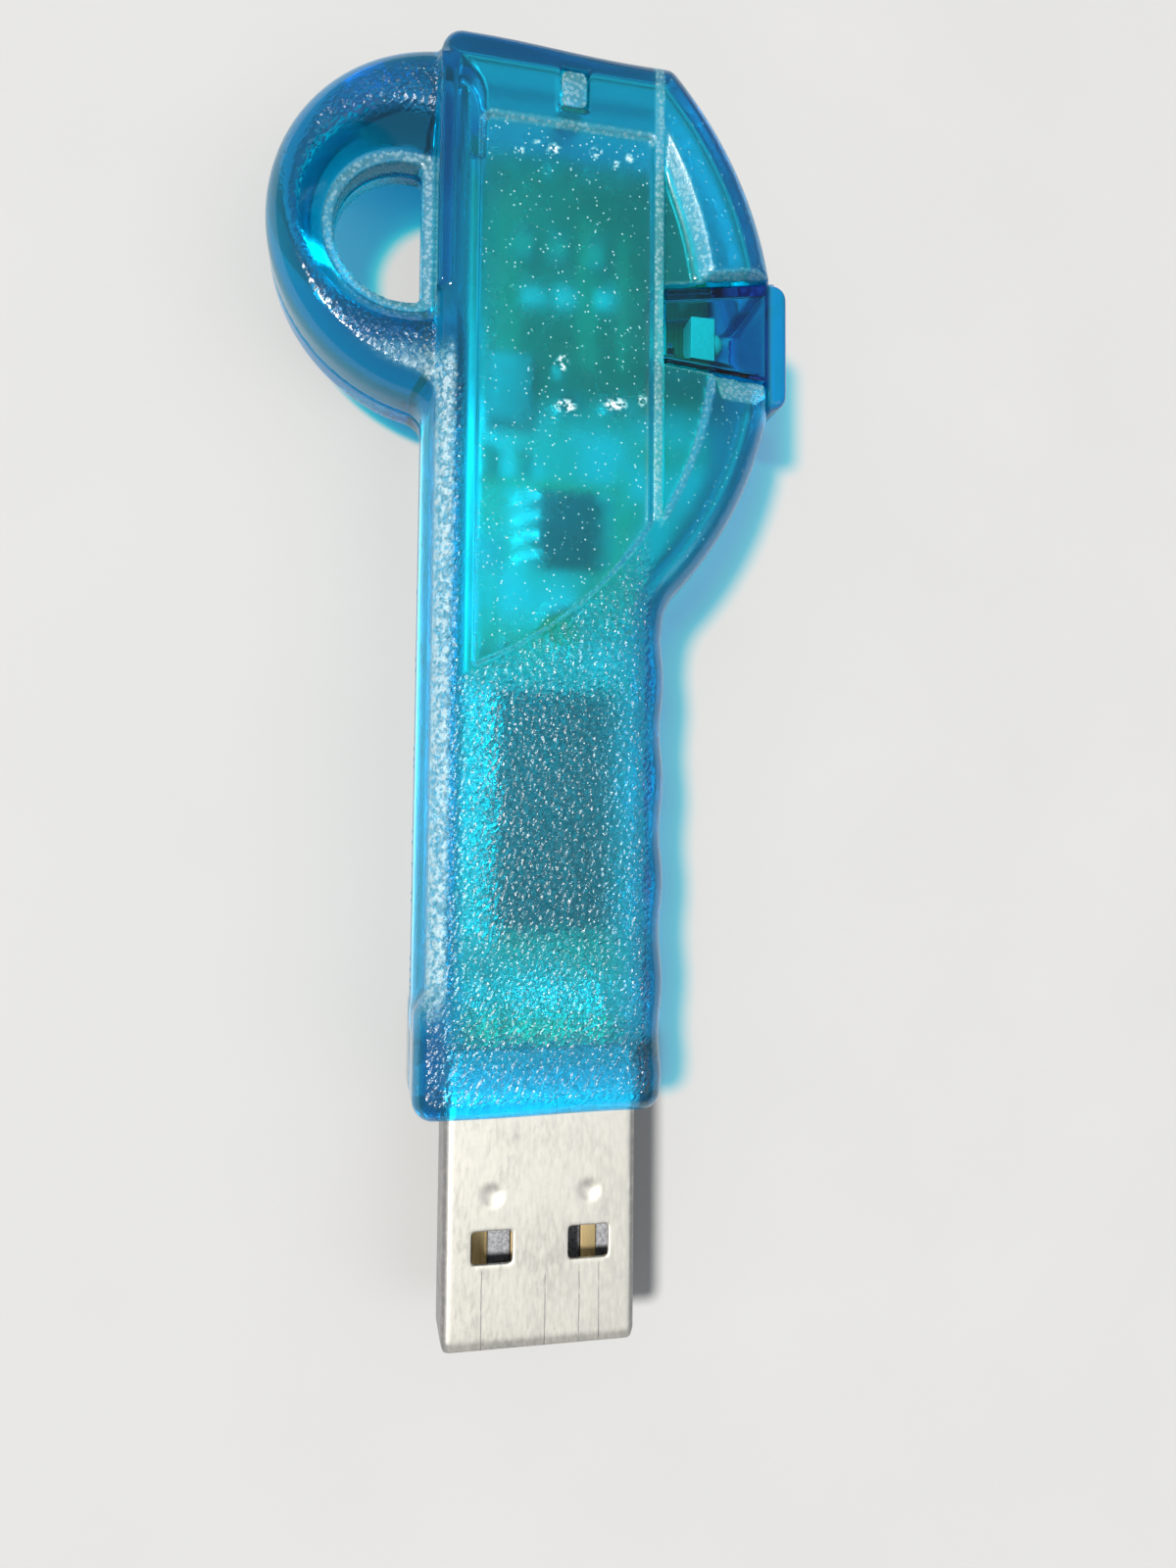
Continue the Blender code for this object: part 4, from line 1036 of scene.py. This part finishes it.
def make_components():
    for node, (axis, body) in CHIP_BODIES.items():
        obj = bevelled(node + "_package", node, ["epoxy", "tin"], 0.05)
        paint_ends(obj, node, axis, (body / 2 + LEAD_GAP) * MM)
    for subpart in frame["record"]["subparts"]:
        node, slot = subpart["node"], subpart["material_slot"]
        if slot not in SMALL_PARTS:
            continue
        low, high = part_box(node)
        size = high - low
        axis = 0 if size.x > size.y else 1
        obj = bevelled(node + "_body", node, [SMALL_PARTS[slot], "tin"], 0.05, 3)
        paint_ends(obj, node, axis, size[axis] * END_SHARE)
    bevelled("crystal_can", "crystal", ["can"], 0.12, 3)
    bevelled("status_led_body", "status_led", ["lens"], 0.08, 3)
    bevelled("carrier_tongue", "contact_carrier", ["carrier"], 0.06)
    for node in CONTACTS:
        bevelled(node + "_strip", node, ["gold"], 0.08, 3)
    bevelled("board_laminate", "circuit_board", ["board"], 0.04, 1, 40)


# Plug


def make_plug(step):
    """The folded shell, with round-cornered windows and pressed dimples."""
    low = (-PLUG_W / 2 - 0.3, -0.3, -PLUG_T / 2 - 0.3)
    axes = grid(low, (PLUG_W / 2 + 0.3, PLUG_BACK_Y + 0.3, PLUG_T / 2 + 0.3), step)
    x, y, z = spread(axes)
    flat_x, flat_y = x[:, :, 0], y[:, :, 0]
    from_dimple = np.hypot(np.abs(flat_x) - DIMPLE[0], flat_y - DIMPLE[1]) / DIMPLE_R
    dent = DIMPLE_SINK * (1 - ramp(from_dimple, DIMPLE_FLAT, 1.0))
    raised = np.where(z > 0, z + dent[:, :, None], z)
    tip = PLUG_TIP[0] * (1 - ramp(flat_y, 0.0, PLUG_TIP[1]))
    tail = PLUG_STEP * ramp(flat_y, *PLUG_STEP_Y)
    across = np.abs(x) - PLUG_W / 2 + PLUG_EDGE_R
    up = np.abs(raised) - PLUG_T / 2 + PLUG_EDGE_R
    section = np.hypot(np.maximum(across, 0), np.maximum(up, 0))
    section = section + np.minimum(np.maximum(across, up), 0) - PLUG_EDGE_R
    section += (tip + tail)[:, :, None]
    half = PLUG_SHEET / 2
    shell = np.abs(section + half) - half
    shell = soft_max(shell, np.maximum(-y, y - PLUG_BACK_Y), SHEET_R)
    middle = (SLOT_X[0] + SLOT_X[1]) / 2
    low = (SLOT_X[0] - middle + SLOT_R, SLOT_Y[0] + SLOT_R)
    high = (SLOT_X[1] - middle - SLOT_R, SLOT_Y[1] - SLOT_R)
    window = box_distance(np.abs(flat_x) - middle, flat_y, low, high) - SLOT_R
    shell = soft_max(shell, -window[:, :, None], SHEET_R)
    points, quads = surface_net(shell, axes)
    add_piece("plug_sleeve", points, quads, "steel", ("plug_shell",))


# Board details


BOX_FACES = (
    (3, 2, 1, 0),
    (4, 5, 6, 7),
    (0, 1, 5, 4),
    (1, 2, 6, 5),
    (2, 3, 7, 6),
    (3, 0, 4, 7),
)
MOUND_RINGS = 5
MOUND_SIDES = 14


class Relief:
    """Low shapes on the board's upper face, gathered into one piece."""

    def __init__(self):
        self.points = []
        self.faces = []

    def slab(self, x_ends, y_ends, height):
        """A flat box with chamfered upper edges."""
        base = len(self.points)
        spans = x_ends[1] - x_ends[0], y_ends[1] - y_ends[0]
        draft = min(0.03, spans[0] / 4, spans[1] / 4)
        for z, inset in ((BOARD_TOP, 0.0), (BOARD_TOP + height, draft)):
            left, right = x_ends[0] + inset, x_ends[1] - inset
            near, far = y_ends[0] + inset, y_ends[1] - inset
            self.points += [(left, near, z), (right, near, z), (right, far, z), (left, far, z)]
        self.faces += [[base + i for i in face] for face in BOX_FACES]

    def mound(self, x, y, z, size):
        """A low rounded drop of solder or flux."""
        base = len(self.points)
        for ring in range(MOUND_RINGS):
            rise = math.pi / 2 * ring / MOUND_RINGS
            for side in range(MOUND_SIDES):
                turn = 2 * math.pi * side / MOUND_SIDES
                across = size[0] * math.cos(rise) * math.cos(turn)
                along = size[1] * math.cos(rise) * math.sin(turn)
                self.points.append((x + across, y + along, z + size[2] * math.sin(rise)))
        top = len(self.points)
        self.points.append((x, y, z + size[2]))
        for ring in range(MOUND_RINGS):
            first = base + ring * MOUND_SIDES
            for side in range(MOUND_SIDES):
                a, b = first + side, first + (side + 1) % MOUND_SIDES
                if ring < MOUND_RINGS - 1:
                    self.faces.append([a, b, b + MOUND_SIDES, a + MOUND_SIDES])
                else:
                    self.faces.append([a, b, top])
        self.faces.append([base + side for side in reversed(range(MOUND_SIDES))])

    def add(self, name, paint, slot):
        add_piece(name, self.points, self.faces, paint)


PAD_HEIGHT = 0.03
CONTACT_PAD_HEIGHT = 0.035
TRACE_HEIGHT = 0.02
PRINT_HEIGHT = 0.05
TRACE_HALF_W = 0.12
LONG_TRACE_W = 0.28
TRACE_LIMIT_X = 5.9
CHIP_PINS = (  # middle, pins on each side, pitch, and how far the leads reach
    (0.35, 32.8, 12, 1.27, 5.15),
    (1.4, 51.2, 4, 1.27, 3.0),
)
CONTACT_XS = (-3.5, -1.0, 1.0, 3.5)
FLUX_XS = (-4.6, -2.25, 0.0, 2.25, 4.6)
PRINTED = (  # the ends along X, and along Y
    ((-3.3, -0.9), (41.0, 41.9)),
    ((2.6, 5.0), (41.2, 44.0)),
    ((-5.2, -2.6), (48.4, 50.6)),
    ((-1.6, 0.1), (66.3, 67.6)),
    ((0.6, 2.2), (66.4, 67.8)),
    ((3.4, 4.9), (66.6, 67.9)),
    ((-5.3, -4.6), (62.6, 64.8)),
)


def chip_leads():
    """Each lead's number in its row, its side, its end's X and its Y."""
    for centre_x, centre_y, count, pitch, reach in CHIP_PINS:
        for side in (-1, 1):
            for i in range(count):
                yield i, side, centre_x + side * reach, centre_y + (i - (count - 1) / 2) * pitch


def make_board_details():
    solder = Relief()
    for _, side, x, y in chip_leads():
        solder.slab(sorted((x - side * 0.85, x + side * 0.35)), (y - 0.3, y + 0.3), PAD_HEIGHT)
    for x in CONTACT_XS:
        solder.slab((x - 0.75, x + 0.75), (19.0, 21.6), CONTACT_PAD_HEIGHT)
    for x, y, a, b in SOLDER_DROPS:
        solder.mound(x, y, BOARD_TOP, (a, b, 0.42))
    for x in CONTACT_XS:
        solder.mound(x, 20.6, BOARD_TOP + PAD_HEIGHT, (0.72, 1.15, 0.5))
    solder.add("board_solder", "tin", "steel")

    flux = Relief()
    for x in FLUX_XS:
        flux.mound(x, 19.9, BOARD_TOP, (0.5, 1.1, 0.2))
    flux.add("board_flux", "flux", "board")

    traces = Relief()
    for i, side, x, y in chip_leads():
        out = 0.9 if i % 2 else 1.5
        if abs(x + side * out) > TRACE_LIMIT_X:
            out = 5.7 - abs(x)
        ends = sorted((x, x + side * max(out, 0.4)))
        traces.slab(ends, (y - TRACE_HALF_W, y + TRACE_HALF_W), TRACE_HEIGHT)
    for i, x in enumerate((-4.6, -3.9, -3.2, 5.0, 5.6)):
        traces.slab((x, x + LONG_TRACE_W), (42.5 + i * 0.8, 57.5 - i * 0.5), TRACE_HEIGHT)
    for i, x in enumerate((-3.0, -2.2, 2.4, 3.1, 5.2)):
        traces.slab((x, x + LONG_TRACE_W), (62.4, 73.6 - i * 0.4), TRACE_HEIGHT)
    for i in range(9):
        x = -4.8 + i * 1.15
        traces.slab((x, x + 0.3), (22.0 + (i % 3) * 0.4, 25.0), TRACE_HEIGHT)
    traces.slab((-5.2, 5.4), (54.0, 54.6), TRACE_HEIGHT)
    traces.slab((-5.2, -4.95), (24.6, 40.0), TRACE_HEIGHT)
    traces.add("board_traces", "trace", "board")

    prints = Relief()
    for x_ends, y_ends in PRINTED:
        prints.slab(x_ends, y_ends, PRINT_HEIGHT)
    prints.add("board_print", "print", "board")


# Floor, light and camera


FLOOR_HALF = 1.5


def make_stage():
    mesh = bpy.data.meshes.new("floor")
    corners = [(x * FLOOR_HALF, y * FLOOR_HALF, 0) for x, y in ((-1, -1), (1, -1), (1, 1), (-1, 1))]
    mesh.from_pydata(corners, [], [(0, 1, 2, 3)])
    floor = bpy.data.objects.new("floor", mesh)
    bpy.context.scene.collection.objects.link(floor)
    s = Shader("floor_paper", Roughness=0.75)
    s.use("Base Color", s.blend(s.noise(60, 3.0), (0.6, 0.6, 0.595), (0.635, 0.635, 0.63)))
    mesh.materials.append(s.material)


def make_light(name, source, spread, strength, colour):
    """An even light from one side. Its spread in degrees gives its shadows their soft edges."""
    lamp = bpy.data.lights.new(name, "SUN")
    lamp.angle = math.radians(spread)
    lamp.energy = strength
    lamp.color = colour
    obj = bpy.data.objects.new(name, lamp)
    obj.rotation_euler = Vector(source).to_track_quat("Z", "Y").to_euler()
    bpy.context.scene.collection.objects.link(obj)


CAMERA_FOCAL = 24.75
CAMERA_SENSOR = 36.0
CAMERA_PLACE = (-11.59, 30.73, 68.89)
CAMERA_RIGHT = (0.9776, 0.0091, 0.2105)
CAMERA_UP = (-0.0205, 0.9984, 0.0521)
CAMERA_BACK = (-0.2097, -0.0552, 0.9762)


def make_camera():
    lens = bpy.data.cameras.new("camera")
    lens.lens = CAMERA_FOCAL
    lens.sensor_width = CAMERA_SENSOR
    lens.clip_start = 0.001
    obj = bpy.data.objects.new("camera", lens)
    turn = Matrix((CAMERA_RIGHT, CAMERA_UP, CAMERA_BACK)).transposed().to_4x4()
    obj.matrix_world = Matrix.Translation(Vector(CAMERA_PLACE) * MM + DATUM) @ turn
    bpy.context.scene.collection.objects.link(obj)
    bpy.context.scene.camera = obj


WORLD_LIGHT = 0.24  # how strongly the world lights the scene
WORLD_SEEN = 0.72  # and how bright it is behind the floor


def make_studio():
    scene = bpy.context.scene
    world = bpy.data.worlds.new("studio")
    world.use_nodes = True
    tree = world.node_tree
    backdrop = tree.nodes["Background"]
    backdrop.inputs["Color"].default_value = (0.93, 0.96, 1.0, 1)
    strength = tree.nodes.new("ShaderNodeMapRange")
    strength.inputs["To Min"].default_value = WORLD_LIGHT
    strength.inputs["To Max"].default_value = WORLD_SEEN
    path = tree.nodes.new("ShaderNodeLightPath")
    tree.links.new(path.outputs["Is Camera Ray"], strength.inputs["Value"])
    tree.links.new(strength.outputs[0], backdrop.inputs["Strength"])
    scene.world = world
    make_light("key", (-0.16, 0.03, 0.31), 8, 3.5, (1, 0.98, 0.95))
    make_light("fill", (0.25, -0.12, 0.35), 40, 0.35, (0.93, 0.97, 1))
    scene.view_settings.view_transform = "Standard"
    scene.cycles.caustics_refractive = False
    scene.cycles.caustics_reflective = False
    scene.cycles.max_bounces = 16
    scene.cycles.transmission_bounces = 16
    scene.cycles.transparent_max_bounces = 24


STEP = 0.2  # of the casing's grid, in millimetres

make_camera()
make_stage()
make_casing_half("casing_top", "upper_casing", True, STEP)
make_casing_half("casing_bottom", "lower_casing", False, STEP * 1.15)
make_window(STEP * 0.65)
make_catch()
make_plug(STEP * 0.68)
make_components()
make_board_details()
make_studio()
